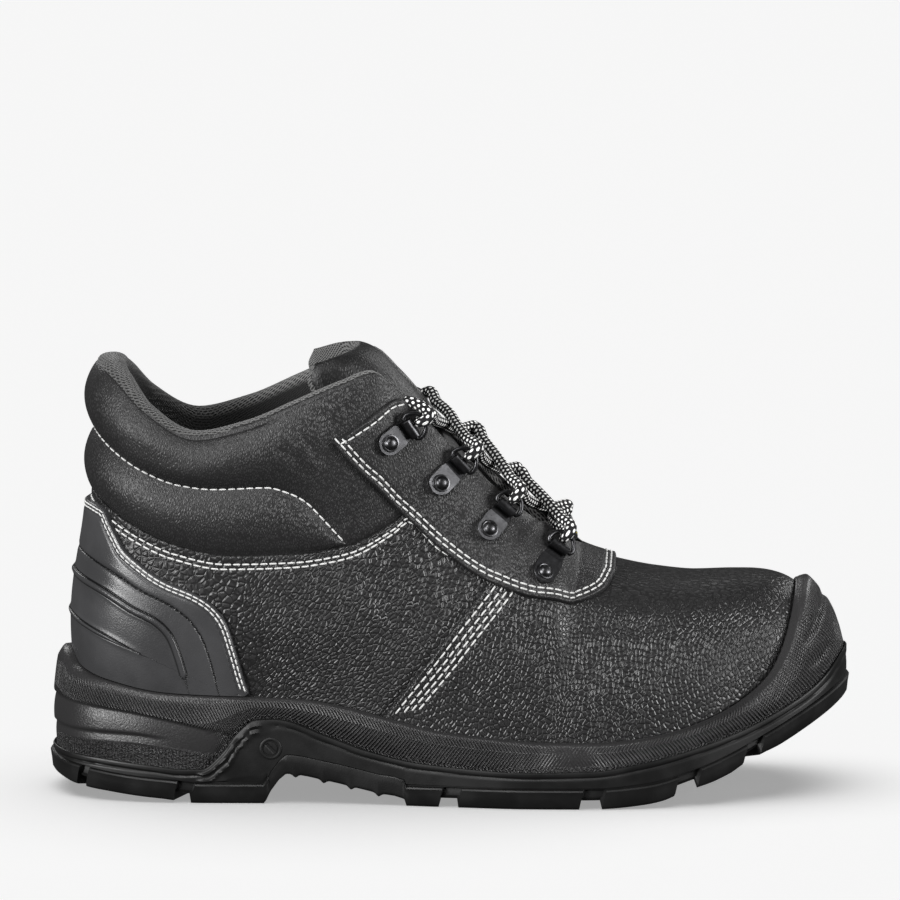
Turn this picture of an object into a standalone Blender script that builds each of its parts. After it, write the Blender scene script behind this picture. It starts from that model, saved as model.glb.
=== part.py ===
"""A safety ankle boot for the right foot, about EU size 42, standing empty on its sole.

Tables and sizes are in millimetres and become metres when a mesh is made. In them x runs forward from
the back of the heel, y from the outer (lateral) side to the inner (medial) side, and z up from the floor.
The upper is a set of ribs round the last: each rib climbs from the feather edge, where the upper meets
the sole, to the top line, which is the collar, the throat or the ridge of the vamp.
"""

import math

import bmesh
import bpy
import numpy as np
from mathutils import Vector

MM = 0.001
INSTEP_OUT = np.array((0.7, 0, 0.7))
LATERAL = -1
MEDIAL = 1
SIDES = {"lateral": LATERAL, "medial": MEDIAL}

# Driving sizes
SOLE_LENGTH = 302.0
GAP = 0.3
OVERLAY_GAP = 0.6

# The upper's wall
WALL = 2.4
COLLAR_WALL = 7.5
BELLY_TOP = 0.63
THROAT_FRONT = 196.0
ROLL_FULLNESS = 0.8
RIM_CROWN = 2.4
LEAST_PANEL = 0.3
LINING_ROWS = {0: 0, 2: 0, 4: 0, 6: 0.8, 9: 1, 11: 1, 13: 1, 14: 1}

# The sole
FLOOR_BELOW_FEATHER = 1.0
MIDSOLE_FLOOR = 4.5
LEAST_LIP = 0.8
LIP_CLEARANCE = 0.4
LUG_HEIGHT = 7.5
LUG_BEVEL = 0.8
LUG_PROUD = 1.0
LUG_DRAFT = 1.2
GROOVE_DEPTH = 3.2
NOTCH_INSET = 2.6
NOTCH_WALL = 0.3
LUG_REACH = 0.55
CHANNEL = 0.06
GROOVE_WALL = 0.02
PAD_DEPTH = 0.6
MEAN_BREADTH = 76.0
TOE_SHIFT = 7.0
END_ZONE = 62.0

# Insole, overlays and tongue
INSOLE_THICKNESS = 3.6
INSOLE_MARGIN = 0.9
COUNTER_THICKNESS = 2.0
EYESTAY_THICKNESS = 1.2
COUNTER_FRONT = 72.0
COUNTER_ROWS = 6
EYESTAY_ROWS = 6
LEAST_STRIP = 0.01
TONGUE_CROWN = 1.6
TONGUE_THICKNESS = 6.0
TONGUE_CLEARANCE = 1.8
TONGUE_EDGE = (0.35, 0.8, 1, 1, 1, 0.8, 0.35)
TONGUE_TURNS = np.radians((-90, -62, -32, 0, 32, 62, 90))

# Lacing hardware and lace
CLIP_SEAT = 0.9
CLIP_WIDTH = 9.4
EYE_WIDTH = 7.4
CLIP_SHEET = 1.0
CLIP_TAIL = 4.6
RIVET_RADIUS = 2.9
RIVET_HEIGHT = 1.7
RIVET_SIDES = 9
RIVET_PROFILE = ((1.0, 0.0), (1.0, 0.3), (0.6, 0.9))
RING_WIRE = 0.85
RING_WIDTH = 10.4
RING_BAR = 0.45
RING_REACH = 6.2
RING_TILT = math.radians(14.0)
LACE_RADIUS = 2.2
LACE_LIFT = 7.2
LACE_ARCH = 0.38
LACE_SEAT = 4.5
LACE_CLEARANCE = 6.1
TAG_SIZE = (10.5, 8.0, 2.6)
TAG_START = np.array((189.0, 2.0, 98.2))
TAG_SLOPE = math.radians(-25.5)
TAG_PROFILE = ((0, 0), (0.92, 0), (1, 0.25), (1, 0.75), (0.92, 1), (0, 1))

# How finely the faceted solids follow the curves
RING_STEPS = 22
LACE_SIDES = 6
LACE_STEPS = 7
RING_SIDES = 5
BOW_STEPS = 8
EYE_STEPS = 7
END_CROWDING = 0.88


def angle_of(station):
    """Place round the sole, 0 at the heel's back and pi at the toe, of a station along its length."""
    return np.arccos(np.clip(1 - 2 * np.asarray(station, float) / SOLE_LENGTH, -1, 1))


def station_of(around):
    """Station along the sole of a place round it: 0 to pi is the lateral side, pi to 2 pi the medial."""
    return SOLE_LENGTH * (1 - np.cos(around)) / 2


def smooth(keys, values, at):
    """Cubic curve through the points of a table that never overshoots them."""
    step = np.diff(keys)
    slope = np.diff(values) / step
    tangent = np.zeros(len(values))
    tangent[0] = slope[0]
    tangent[-1] = slope[-1]
    for i in range(1, len(slope)):
        if slope[i - 1] * slope[i] > 0:
            before = 2 * step[i] + step[i - 1]
            after = step[i] + 2 * step[i - 1]
            tangent[i] = (before + after) / (before / slope[i - 1] + after / slope[i])
    at = np.clip(at, keys[0], keys[-1])
    i = np.clip(np.searchsorted(keys, at, side="right") - 1, 0, len(step) - 1)
    t = (at - keys[i]) / step[i]
    start = values[i] * (1 + 2 * t) * (1 - t) ** 2 + tangent[i] * step[i] * t * (1 - t) ** 2
    end = values[i + 1] * t * t * (3 - 2 * t) - tangent[i + 1] * step[i] * t * t * (1 - t)
    return start + end


class Table:
    """Rows of sizes with named columns, read as smooth curves over the first column."""

    def __init__(self, columns, *rows, along=np.asarray):
        self.names = columns.split()
        self.rows = np.array(rows, float)
        self.along = along

    def __call__(self, name, at):
        column = self.rows[:, self.names.index(name)]
        return smooth(self.along(self.rows[:, 0]), column, self.along(at))


# Outline of the sole at its widest, half-breadths to both sides of the heel's axis. The upper's feather
# edge lies "inset" inside it, at the height "feather".
SOLE_PLAN = Table(
    "station lateral medial inset feather",
    (0, 0, 0, 11.6, 27.0),
    (3, 15, 15, 11.0, 27.0),
    (8, 24, 24, 10.0, 27.0),
    (20, 32, 32, 8.6, 27.0),
    (40, 37.5, 37, 7.6, 26.8),
    (60, 39, 37.5, 7.0, 26.4),
    (90, 39.5, 35, 6.6, 25.4),
    (120, 42, 33.5, 6.5, 22.4),
    (150, 47, 38, 6.6, 18.0),
    (180, 51.5, 46, 7.0, 15.7),
    (200, 52, 50.5, 7.0, 15.5),
    (220, 50.5, 52, 7.2, 16.6),
    (245, 44, 50, 7.6, 21.5),
    (265, 35.6, 46.6, 8.2, 28.0),
    (282, 27.4, 41.0, 8.8, 34.0),
    (294, 16.4, 30.8, 9.2, 38.5),
    (299, 7.0, 21.6, 9.2, 40.2),
    (302, -7.2, 7.2, 9.2, 41.0),
    along=angle_of,
)

# One row for each rib of the upper. A rib's top is at top_x, top_z, and half to the side of centre. Dome
# goes from 0, a standing wall, to 1, an arch of the given power; belly swells the wall's lower part.
RIBS = Table(
    "station top_x top_z half centre dome power belly",
    (0, 18.5, 162.4, 0, 0, 0, 2.2, 3.4),
    (3, 20.5, 161.4, 11, 0, 0, 2.2, 3.3),
    (8, 25.5, 157.8, 19.5, 0, 0, 2.2, 3.1),
    (20, 37, 146.8, 29, 0, 0, 2.2, 2.9),
    (40, 56, 137.2, 34, 0, 0, 2.2, 2.5),
    (60, 75, 141.4, 36, 0, 0, 2.2, 2.4),
    (80, 94, 149.4, 36.5, 0, 0, 2.2, 2.5),
    (100, 112, 157.0, 35.5, 0, 0.05, 2.2, 2.8),
    (116, 123, 160.8, 33, 0, 0.15, 2.2, 3.0),
    (128, 132.5, 154.0, 28, 0, 0.3, 2.2, 2.9),
    (145, 150.4, 134.0, 23, 0.5, 0.55, 2.2, 2.3),
    (163, 168, 115.5, 20, 1, 0.75, 2.2, 1.4),
    (180, 184, 101.7, 16, 1.5, 0.92, 2.25, 0.6),
    (190, 193, 94.6, 11, 2, 1, 2.3, 0.2),
    (196, 200, 90.0, 0, 2, 1, 2.3, 0),
    (215, 214, 85.6, 0, 3, 1, 2.35, 0),
    (235, 228, 82.8, 0, 4, 1, 2.4, 0),
    (255, 241, 81.3, 0, 5, 1, 2.5, 0),
    (275, 253, 81.6, 0, 6, 1, 2.6, 0),
    (290, 259.5, 81.6, 0, 6.6, 1, 2.7, 0),
    (302, 262, 81.6, 0, 7, 1, 2.75, 0),
    along=angle_of,
)

# Lines on the upper as seen from the side: the sole's rim with the toe bumper's edge, the seam under the
# padded collar and the collar's quilted valley (both run on as even rows over the vamp), the counter's
# edge, and the eyestay's lower and upper edges.
RIM = Table(
    "x z",
    (8, 56.0), (10.7, 53.8), (14.3, 48.6), (26, 44.4), (45, 41.1), (71, 40.0), (94, 39.2), (113, 36.0),
    (132, 31.1), (150, 27.2), (169, 25.5), (188, 24.2), (207, 24.2), (222, 25.4), (237, 28.2), (252, 33.4),
    (263, 39.7), (270.7, 46.8), (276, 56.9), (279, 67.0), (281, 76.0), (284, 90.0),
)
SEAM = Table(
    "x z",
    (15, 115.3), (30, 105.2), (49, 97.0), (67.7, 93.6), (94, 94.4), (116.5, 97.0), (135, 92.0), (150, 85.0),
    (175, 70.0), (200, 60.0), (240, 55.0), (275, 62.0),
)
QUILT = Table(
    "x z",
    (18.8, 136.3), (25.6, 130.7), (37.6, 123.9), (56, 118.4), (75, 117.6), (90, 119.0), (110, 123.0),
    (125, 123.0), (150, 110.0), (175, 90.0), (200, 76.0), (240, 70.0), (275, 74.0),
)
COUNTER_EDGE = Table(
    "x z",
    (15, 112.5), (22.6, 108.7), (27, 99.5), (30, 94.3), (37.6, 87.9), (52.6, 80.0), (60, 75.2), (64.7, 68.7),
    (68.4, 57.3), (71.4, 45.9), (73.4, 38.0),
)
EYESTAY_LOWER = Table(
    "x z",
    (106, 137.4), (118.4, 123.7), (131.6, 110.3), (150.4, 93.3), (161.7, 85.6), (176.7, 79.0), (191.7, 75.6),
    (203, 75.6), (209.8, 79.0), (213.5, 84.1), (215, 92.0),
)
EYESTAY_UPPER = Table("x z", (106, 137.4), (132.7, 152.0), (136, 175.0))

# How far the two padded rolls of the collar stand out, and how much of the collar's wall is padded.
COLLAR_ROLLS = Table(
    "station lower upper padding",
    (0, 3.4, 4.4, 1.6), (10, 3.4, 4.4, 1.2), (20, 3.3, 4.2, 1), (60, 3.2, 4.0, 1), (84, 2.2, 3.0, 1),
    (104, 0.6, 2.0, 0.9), (122, 0, 0.9, 0.5), (134, 0, 0, 0), (302, 0, 0, 0),
)

# The outsole's side: its upper edge, with the arch bridge and the toe lip, the lip's width, and the bottom
# with the heel's bevel, the arch and the toe spring.
EDGE = Table(
    "station z",
    (0, 17.2), (10, 16.6), (18, 16.0), (39, 14.0), (50, 12.8), (58, 12.9), (65, 18.3), (72, 27.2),
    (78, 31.6), (85, 32.0), (105, 25.6), (120, 20.3), (140, 16.2), (180, 13.9), (203, 14.3), (222, 17.0),
    (259, 26.7), (278, 35.3), (290, 42.3), (302, 53.5),
)
LIP = Table(
    "station width",
    (0, 1.8), (50, 1.8), (62, 3.2), (80, 4), (110, 4), (140, 2.2), (200, 2), (265, 2.0), (302, 1.8),
)
BOTTOM = Table(
    "station z",
    (0, 7.4), (4, 6.3), (12, 5.0), (20, 3.8), (33, 2.3), (47, 1.1), (58, 0), (81, 0), (84, 5.0), (90, 11.2),
    (105, 8.7), (124, 4.4), (133.6, 2.4), (134.4, 0), (205, 0), (225, 1.5), (244, 6.5), (258, 12.0),
    (273, 19.5), (288, 27.5), (302, 35.0),
)

# The midsole's wall: how far it swells between rim and lip, and its thickness at the rim.
WALL_FORM = Table(
    "station swell rim",
    (0, 2.4, 5.6), (8, 2.2, 4.6), (30, 1.6, 3.0), (80, 1.2, 3.0), (200, 0.9, 3.0), (260, 2.2, 3.0),
    (290, 4.4, 2.0), (302, 5.0, 1.8),
)
SIDE_GROOVE = Table("station depth", (0, 1.3), (50, 1.3), (64, 0), (302, 0))

# The arch, the lug notches and the flat pads of the tread, from station to station; stations that every
# ring keeps, and those that only the outsole needs at its heel breast and at the end of its arch.
ARCH = ((83, 134),)
NOTCHES = ((12, 15), (49, 55), (148, 155), (201, 209), (237, 245), (263, 269))
PADS = ((26, 46), (58, 76), (160, 196), (214, 234))
EYESTAY_STATIONS = (
    93.5, 97, 103, 111, 120, 128, 137, 147, 158, 170, 182, 190, THROAT_FRONT, 200, 205, 209, 212, 214,
)
KEY_STATIONS = (57, 62, 66, 70, 75, 83, 128, 137, THROAT_FRONT, 200, 220)
BREAST_STATIONS = (81, 82.5, 84, 87, 90, 133.6, 134.4)

# Rows of the midsole's outer wall, from the rim down to the outsole: how far up, the share of the swell,
# and the share of the heel's side groove.
MIDSOLE_ROWS = ((0.9, 0.75, 0), (0.56, 1.0, 0), (0.48, 0.95, 1), (0.4, 0.9, 0), (0.2, 0.55, 0))

# Places of the lacing on the lateral face, seen from the side: rivet, and middle of the ring's bar.
LACING = (
    {"rivet": (127.0, 136.0), "bar": (134.4, 140.9)},
    {"rivet": (146.8, 119.8), "bar": (153.2, 125.9)},
    {"rivet": (164.9, 102.2), "bar": (170.1, 108.3)},
    {"rivet": (185.5, 85.8), "bar": (189.5, 92.6)},
)

# The tongue under the throat follows these ribs, from a height on the wall up, and above the collar these
# free sections.
TONGUE_RIBS = ((186, 0.87), (179, 0.86), (170, 0.86), (160, 0.87), (150, 0.88), (141, 0.9))
TONGUE_TOP = (
    {"front": (141.0, 147.2), "wing": (128, 138), "half": 23.2, "thickness": 6.0},
    {"front": (137.6, 151.5), "wing": (114, 145), "half": 23.6, "thickness": 6.5},
    {"front": (132.0, 158.0), "wing": (102, 151), "half": 23.6, "thickness": 7.0},
    {"front": (125.4, 165.2), "wing": (98, 158.5), "half": 23.0, "thickness": 6.5},
    {"front": (118.0, 170.2), "wing": (100, 164), "half": 21.6, "thickness": 3.5},
)


def make_material(name, colour, roughness, metallic=0.0):
    material = bpy.data.materials.new(name)
    material.use_nodes = True
    shader = material.node_tree.nodes["Principled BSDF"]
    shader.inputs["Base Color"].default_value = (*colour, 1.0)
    shader.inputs["Roughness"].default_value = roughness
    shader.inputs["Metallic"].default_value = metallic
    return material


def make_object(name, mesh, material):
    """Put a mesh in the scene as one sub-part of the boot."""
    mesh.materials.append(material)
    mesh.shade_smooth()
    mesh.set_sharp_from_angle(angle=math.radians(40))
    part = bpy.data.objects.new(name, mesh)
    bpy.context.collection.objects.link(part)
    part.parent = bpy.data.objects["boot"]
    return part


def to_mesh(name, points, faces, closed=True):
    """Mesh in metres from points in millimetres, doubled points welded, a closed body's faces turned out."""
    mesh = bpy.data.meshes.new(name)
    mesh.from_pydata((np.asarray(points) * MM).tolist(), [], faces)
    work = bmesh.new()
    work.from_mesh(mesh)
    bmesh.ops.remove_doubles(work, verts=work.verts, dist=1e-6)
    bmesh.ops.delete(work, geom=[v for v in work.verts if not v.link_faces], context="VERTS")
    if closed:
        bmesh.ops.recalc_face_normals(work, faces=work.faces)
    work.to_mesh(mesh)
    work.free()
    return mesh


def ring_places(stations):
    """Places round the sole for stations on both sides, heel to toe and back."""
    lateral = angle_of(np.array(stations))
    return np.concatenate((lateral, 2 * math.pi - lateral[-2:0:-1]))


def spread_stations(steps):
    """Stations from heel to toe, closer together at the round ends."""
    share = np.linspace(0, 1, steps + 1)
    return SOLE_LENGTH * (END_CROWDING * (1 - np.cos(math.pi * share)) / 2 + (1 - END_CROWDING) * share)


def outline(around):
    """Outline of the sole seen from above, as x and y."""
    around = np.mod(around, 2 * math.pi)
    station = station_of(around)
    y = np.where(around <= math.pi, -SOLE_PLAN("lateral", station), SOLE_PLAN("medial", station))
    return np.stack((station, y), axis=-1)


def outward(around):
    """Outward direction of the outline seen from above."""
    step = 1e-3
    along = outline(around + step) - outline(around - step)
    along /= np.linalg.norm(along, axis=-1, keepdims=True)
    return np.stack((along[..., 1], -along[..., 0]), axis=-1)


def skin(around, height):
    """Points of the upper's outer face, height going from 0 at the feather edge to 1 at the top line."""
    around, height = np.broadcast_arrays(np.asarray(around, float), np.asarray(height, float))
    station = station_of(around)
    out = outward(around)
    foot = outline(around) - out * SOLE_PLAN("inset", station)[..., None]
    side = np.where(np.mod(around, 2 * math.pi) <= math.pi, LATERAL, MEDIAL)
    dome = RIBS("dome", station)
    power = RIBS("power", station)
    spread = (1 - dome) * (1 - height) + dome * np.cos(height * math.pi / 2).clip(0, 1) ** (2 / power)
    rise = (1 - dome) * height + dome * np.sin(height * math.pi / 2) ** (2 / power)
    belly = RIBS("belly", station) * np.sin(math.pi * np.clip(height / BELLY_TOP, 0, 1)) ** 2
    top_x = RIBS("top_x", station)
    top_y = RIBS("centre", station) + side * RIBS("half", station)
    feather = SOLE_PLAN("feather", station)
    x = top_x + (foot[..., 0] - top_x) * spread + out[..., 0] * belly
    y = top_y + (foot[..., 1] - top_y) * spread + out[..., 1] * belly
    z = feather + (RIBS("top_z", station) - feather) * rise
    return np.stack((x, y, z), axis=-1)


def wall_normal(around, height):
    """Outward direction of one side's wall, read just off its edges."""
    step = 2e-3
    height = np.clip(height, step, 1 - 2 * step)
    along = skin(around + step, height) - skin(around - step, height)
    up = skin(around, height + step) - skin(around, height - step)
    normal = np.cross(along, up)
    return normal / np.linalg.norm(normal, axis=-1, keepdims=True)


def skin_normal(around, height):
    """Outward direction of the upper's outer face, shared by both sides along the vamp's ridge."""
    around, height = np.broadcast_arrays(np.asarray(around, float), np.asarray(height, float))
    normal = wall_normal(around, height)
    both = normal + wall_normal(2 * math.pi - around, height)
    both /= np.linalg.norm(both, axis=-1, keepdims=True)
    ridge = (height > 1 - 1e-6) & (station_of(around) > THROAT_FRONT - 1e-6)
    return np.where(ridge[..., None], both, normal)


def crossing(around, line, raised=0.0):
    """Height on each rib where it passes a line drawn on the upper's side."""
    heights = np.linspace(0, 1, 241)
    points = skin(around[:, None], heights[None, :])
    above = points[..., 2] - line("z", points[..., 0]) - raised
    found = []
    for values in above:
        i = int(np.argmax(values > 0))
        if i == 0:
            found.append(0.0 if values[0] > 0 else 1.0)
            continue
        share = values[i - 1] / (values[i - 1] - values[i])
        found.append(heights[i - 1] + share * (heights[i] - heights[i - 1]))
    return np.array(found)


def skin_place(side, x, z):
    """Place round the foot and height on its rib of a point on the upper seen from the side."""
    around = np.linspace(0.02, math.pi - 0.02, 160)
    if side == MEDIAL:
        around = 2 * math.pi - around
    heights = np.linspace(0, 1, 100)
    points = skin(around[:, None], heights[None, :])
    distance = np.hypot(points[..., 0] - x, points[..., 2] - z)
    i, j = np.unravel_index(np.argmin(distance), distance.shape)
    place = np.array((around[i], heights[j]))
    step = 1e-4
    for _ in range(8):
        here = skin(place[0], place[1])[[0, 2]]
        by_around = (skin(place[0] + step, place[1])[[0, 2]] - here) / step
        by_height = (skin(place[0], place[1] - step)[[0, 2]] - here) / -step
        move = np.linalg.solve(np.stack((by_around, by_height), axis=1), np.array((x, z)) - here)
        place = place + np.clip(move, -0.05, 0.05)
        place[1] = np.clip(place[1], 0, 1)
    return place


def wrap_faces(count, rows):
    """Faces between rows of points that close round a ring; points are numbered row by row."""
    faces = []
    for row in range(rows - 1):
        low = row * count
        high = low + count
        for i in range(count):
            after = (i + 1) % count
            faces.append((low + i, low + after, high + after))
            faces.append((low + i, high + after, high + i))
    return faces


def cap_faces(count, first):
    """Strips from side to side that close a ring of points whose first is at the heel."""
    half = count // 2
    faces = [(first, first + 1, first + count - 1)]
    for i in range(1, half - 1):
        faces.append((first + i, first + i + 1, first + count - i - 1, first + count - i))
    faces.append((first + half - 1, first + half, first + half + 1))
    return faces


def ring_solid(name, rings, material):
    """Closed solid through a stack of rings, its first and last ring filled from side to side."""
    count = len(rings[0])
    faces = wrap_faces(count, len(rings))
    faces += cap_faces(count, 0)
    faces += cap_faces(count, (len(rings) - 1) * count)
    return make_object(name, to_mesh(name, np.concatenate(rings), faces), material)


def lifted(plan, z):
    """Ring of points from a plan outline and its heights."""
    return np.column_stack((plan, np.broadcast_to(z, len(plan))))


def core_height(station):
    """Top of the outsole inside its lip."""
    return np.minimum(EDGE("z", station) - LEAST_LIP, SOLE_PLAN("feather", station) - MIDSOLE_FLOOR)


def in_ranges(station, ranges):
    inside = np.zeros(len(station), bool)
    for start, end in ranges:
        inside |= (station > start) & (station < end)
    return inside


def drawn_in(plan, share):
    """Outline shrunk towards the sole's long axis and drawn in by as much round the heel and the toe."""
    x = plan[:, 0]
    axis = TOE_SHIFT * (x / SOLE_LENGTH) ** 2
    pull = share * MEAN_BREADTH / 2
    at_heel = np.clip(1 - x / END_ZONE, 0, 1)
    at_toe = np.clip(1 - (SOLE_LENGTH - x) / END_ZONE, 0, 1)
    return np.column_stack((x + pull * (at_heel - at_toe), axis + (plan[:, 1] - axis) * (1 - share)))


def build_outsole(stations, material):
    """Lugged plate with an upright lip that becomes the arch bridge and the toe lip."""
    stations = list(stations) + list(BREAST_STATIONS)
    for start, end in NOTCHES:
        for edge in (start, end):
            stations += [edge - NOTCH_WALL, edge + NOTCH_WALL]
    places = ring_places(sorted(set(stations)))
    station = station_of(places)
    plan = outline(places)
    out = outward(places)
    notched = in_ranges(station, NOTCHES)
    edge = EDGE("z", station)
    lip = plan - out * LIP("width", station)[:, None]
    lug_top = BOTTOM("z", station) + LUG_HEIGHT
    arched = in_ranges(station, ARCH)
    side_inset = np.where(notched, NOTCH_INSET, np.where(arched, LUG_PROUD, 0))[:, None]
    tread_inset = np.where(notched, NOTCH_INSET, LUG_DRAFT)[:, None]
    groove = np.where(notched, GROOVE_DEPTH, 0)

    def tread(share, depth):
        ring = drawn_in(plan, share)
        return lifted(ring, BOTTOM("z", ring[:, 0]) + depth)

    pads = np.where(in_ranges(station, PADS), PAD_DEPTH, GROOVE_DEPTH)
    foot = plan - out * tread_inset
    rings = [
        lifted(lip, core_height(station)),
        lifted(lip, edge),
        lifted(plan - out * LUG_PROUD, edge),
        lifted(plan - out * LUG_PROUD, lug_top),
        lifted(plan - out * side_inset, lug_top - LUG_BEVEL),
        lifted(foot, BOTTOM("z", station) + groove),
        tread(LUG_REACH, groove),
        tread(LUG_REACH + GROOVE_WALL, GROOVE_DEPTH),
        tread(LUG_REACH + CHANNEL, GROOVE_DEPTH),
        tread(LUG_REACH + CHANNEL + GROOVE_WALL, pads),
    ]
    return ring_solid("outsole", rings, material)


def build_midsole(places, material):
    """Cup that holds the upper's lower edge; at the toe its wall climbs over the front as a bumper."""
    station = station_of(places)
    rim = crossing(places, RIM)
    inside = [skin(places, rim * share) + skin_normal(places, rim * share) * GAP for share in (0, 0.5, 1)]
    floor = lifted(inside[0][:, :2], SOLE_PLAN("feather", station) - FLOOR_BELOW_FEATHER)
    plan = outline(places) - outward(places) * (LIP("width", station) + LIP_CLEARANCE)[:, None]
    low = lifted(plan, EDGE("z", station) + LIP_CLEARANCE)
    rim_normal = skin_normal(places, rim)
    high = skin(places, rim) + rim_normal * WALL_FORM("rim", station)[:, None]
    outside = []
    for up, swell, groove in MIDSOLE_ROWS:
        bulge = swell * WALL_FORM("swell", station) - groove * SIDE_GROOVE("depth", station)
        outside.append(low + (high - low) * up + rim_normal * bulge[:, None])
    bottom = lifted(plan, core_height(station) + GAP)
    return ring_solid("midsole", [floor, *inside, high, *outside, low, bottom], material)


def build_insole(places, material):
    """Footbed on the midsole's floor, inside the upper."""
    station = station_of(places)
    normal = skin_normal(places, 0.0 * places)
    flat = normal[:, :2] / np.linalg.norm(normal[:, :2], axis=1, keepdims=True)
    plan = skin(places, 0.0 * places)[:, :2] - flat * (WALL + INSOLE_MARGIN)
    low = SOLE_PLAN("feather", station) - FLOOR_BELOW_FEATHER + GAP
    return ring_solid("insole", [lifted(plan, low), lifted(plan, low + INSOLE_THICKNESS)], material)


def panel_lines(places):
    """Heights of the sole's rim, the collar's seam and its quilted valley, each above the one before."""
    rim = crossing(places, RIM)
    seam = np.maximum(crossing(places, SEAM), rim + LEAST_PANEL * (1 - rim))
    quilt = np.maximum(crossing(places, QUILT), seam + LEAST_PANEL * (1 - seam))
    return rim, seam, quilt


def roll_out(places, height, seam, quilt):
    """How far the collar's two padded rolls stand out from the upper's face at a height."""
    station = station_of(places)
    lower = np.sin(math.pi * np.clip((height - seam) / (quilt - seam), 0, 1)).clip(0, 1)
    upper = np.sin(math.pi * np.clip((height - quilt) / (1 - quilt), 0, 1)).clip(0, 1)
    low_roll = COLLAR_ROLLS("lower", station) * lower ** ROLL_FULLNESS
    return low_roll + COLLAR_ROLLS("upper", station) * upper ** ROLL_FULLNESS


def upper_rows(places):
    """Heights of the upper's rows of points, feather edge to top line."""
    rim, seam, quilt = panel_lines(places)
    rows = [rim * share for share in (0, 0.5, 1)]
    rows += [rim + (seam - rim) * share for share in (0.33, 0.67, 1)]
    rows += [seam + (quilt - seam) * share for share in (0.2, 0.5, 0.8, 1)]
    rows += [quilt + (1 - quilt) * share for share in (0.2, 0.5, 0.78, 0.93, 1)]
    return rows


def grid_faces(columns, rows):
    """Quads of an open grid whose points are numbered row by row."""
    faces = []
    for row in range(rows - 1):
        for i in range(columns - 1):
            first = row * columns + i
            faces.append((first, first + 1, first + columns + 1, first + columns))
    return faces


def build_upper(places, material):
    """The hollow upper: one wall from the feather edge to the collar, throat and ridge."""
    station = station_of(places)
    count = len(places)
    _, seam, quilt = panel_lines(places)
    padding = COLLAR_ROLLS("padding", station)
    outer = []
    inner = []
    for number, heights in enumerate(upper_rows(places)):
        face = skin(places, heights)
        normal = skin_normal(places, heights)
        outer.append(face + normal * roll_out(places, heights, seam, quilt)[:, None])
        if number in LINING_ROWS:
            depth = WALL + (COLLAR_WALL - WALL) * padding * LINING_ROWS[number]
            inner.append(face - normal * depth[:, None])
    crown = (outer[-1] + inner[-1]) / 2
    crown[:, 2] += RIM_CROWN * padding
    faces = wrap_faces(count, len(outer))
    lining = len(outer) * count
    faces += [tuple(lining + i for i in face) for face in wrap_faces(count, len(inner))]
    rim_rows = (lining - count, lining + len(inner) * count, lining + (len(inner) - 1) * count)
    for i in range(count):
        after = (i + 1) % count
        faces.append((i, after, lining + after, lining + i))
        if max(station[i], station[after]) < THROAT_FRONT + 1e-6:
            for low, high in zip(rim_rows, rim_rows[1:]):
                faces.append((low + i, low + after, high + after, high + i))
    return make_object("upper", to_mesh("upper", np.concatenate(outer + inner + [crown]), faces), material)


def overlay(name, grids, thickness, material):
    """Panel cut from the upper's own face: grids of places and heights, lifted off it and thickened."""
    points = []
    faces = []
    for places, heights in grids:
        first = sum(len(part) for part in points)
        flat = np.tile(places, len(heights))
        height = np.concatenate(heights)
        _, seam, quilt = (np.tile(line, len(heights)) for line in panel_lines(places))
        lift = OVERLAY_GAP + roll_out(flat, height, seam, quilt)
        points.append(skin(flat, height) + skin_normal(flat, height) * lift[:, None])
        faces += [tuple(first + i for i in face) for face in grid_faces(len(places), len(heights))]
    part = make_object(name, to_mesh(name, np.concatenate(points), faces, closed=False), material)
    solid = part.modifiers.new("sheet", "SOLIDIFY")
    solid.thickness = thickness * MM
    solid.offset = 1
    return part


def build_counter(stations, material):
    """Moulded guard round the back of the heel, standing on the sole's rim."""
    front = [s for s in stations if s < COUNTER_FRONT]
    lateral = angle_of(np.array(front))
    places = np.concatenate((-lateral[:0:-1], lateral))
    low = crossing(places, RIM, raised=1.0)
    high = np.maximum(crossing(places, COUNTER_EDGE), low + LEAST_STRIP)
    heights = [low + (high - low) * share for share in np.linspace(0, 1, COUNTER_ROWS)]
    return overlay("heel_counter", [(places, heights)], COUNTER_THICKNESS, material)


def build_eyestay(material):
    """Facing panel that runs down both sides of the throat and meets across the vamp's ridge."""
    chosen = angle_of(np.array(EYESTAY_STATIONS))
    grids = []
    for places in (chosen, 2 * math.pi - chosen[::-1]):
        low = crossing(places, EYESTAY_LOWER)
        high = np.maximum(crossing(places, EYESTAY_UPPER), low + LEAST_STRIP).clip(0, 1)
        low = np.minimum(low, high - LEAST_STRIP)
        grids.append((places, [low + (high - low) * share for share in np.linspace(0, 1, EYESTAY_ROWS)]))
    return overlay("eyestay", grids, EYESTAY_THICKNESS, material)


def tongue_sections():
    """Outer points of the tongue across each section, and the thickness there, from the toe end up."""
    sections = []
    for station, wing in TONGUE_RIBS:
        halves = {}
        for side in SIDES.values():
            around = float(angle_of(station))
            if side == MEDIAL:
                around = 2 * math.pi - around
            heights = np.array((wing, (wing + 1) / 2, 1.0))
            place = np.full(3, around)
            halves[side] = skin(place, heights) - skin_normal(place, heights) * (WALL + TONGUE_CLEARANCE)
        crown = (halves[LATERAL][2] + halves[MEDIAL][2]) / 2 + INSTEP_OUT * TONGUE_CROWN
        points = np.concatenate((halves[LATERAL], crown[None, :], halves[MEDIAL][::-1]))
        sections.append((points, TONGUE_THICKNESS))
    for row in TONGUE_TOP:
        front = np.array(row["front"])
        wing = np.array(row["wing"])
        side_view = wing + (front - wing) * np.cos(TONGUE_TURNS)[:, None]
        points = np.column_stack((side_view[:, 0], row["half"] * np.sin(TONGUE_TURNS), side_view[:, 1]))
        sections.append((points, row["thickness"]))
    return sections


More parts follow.
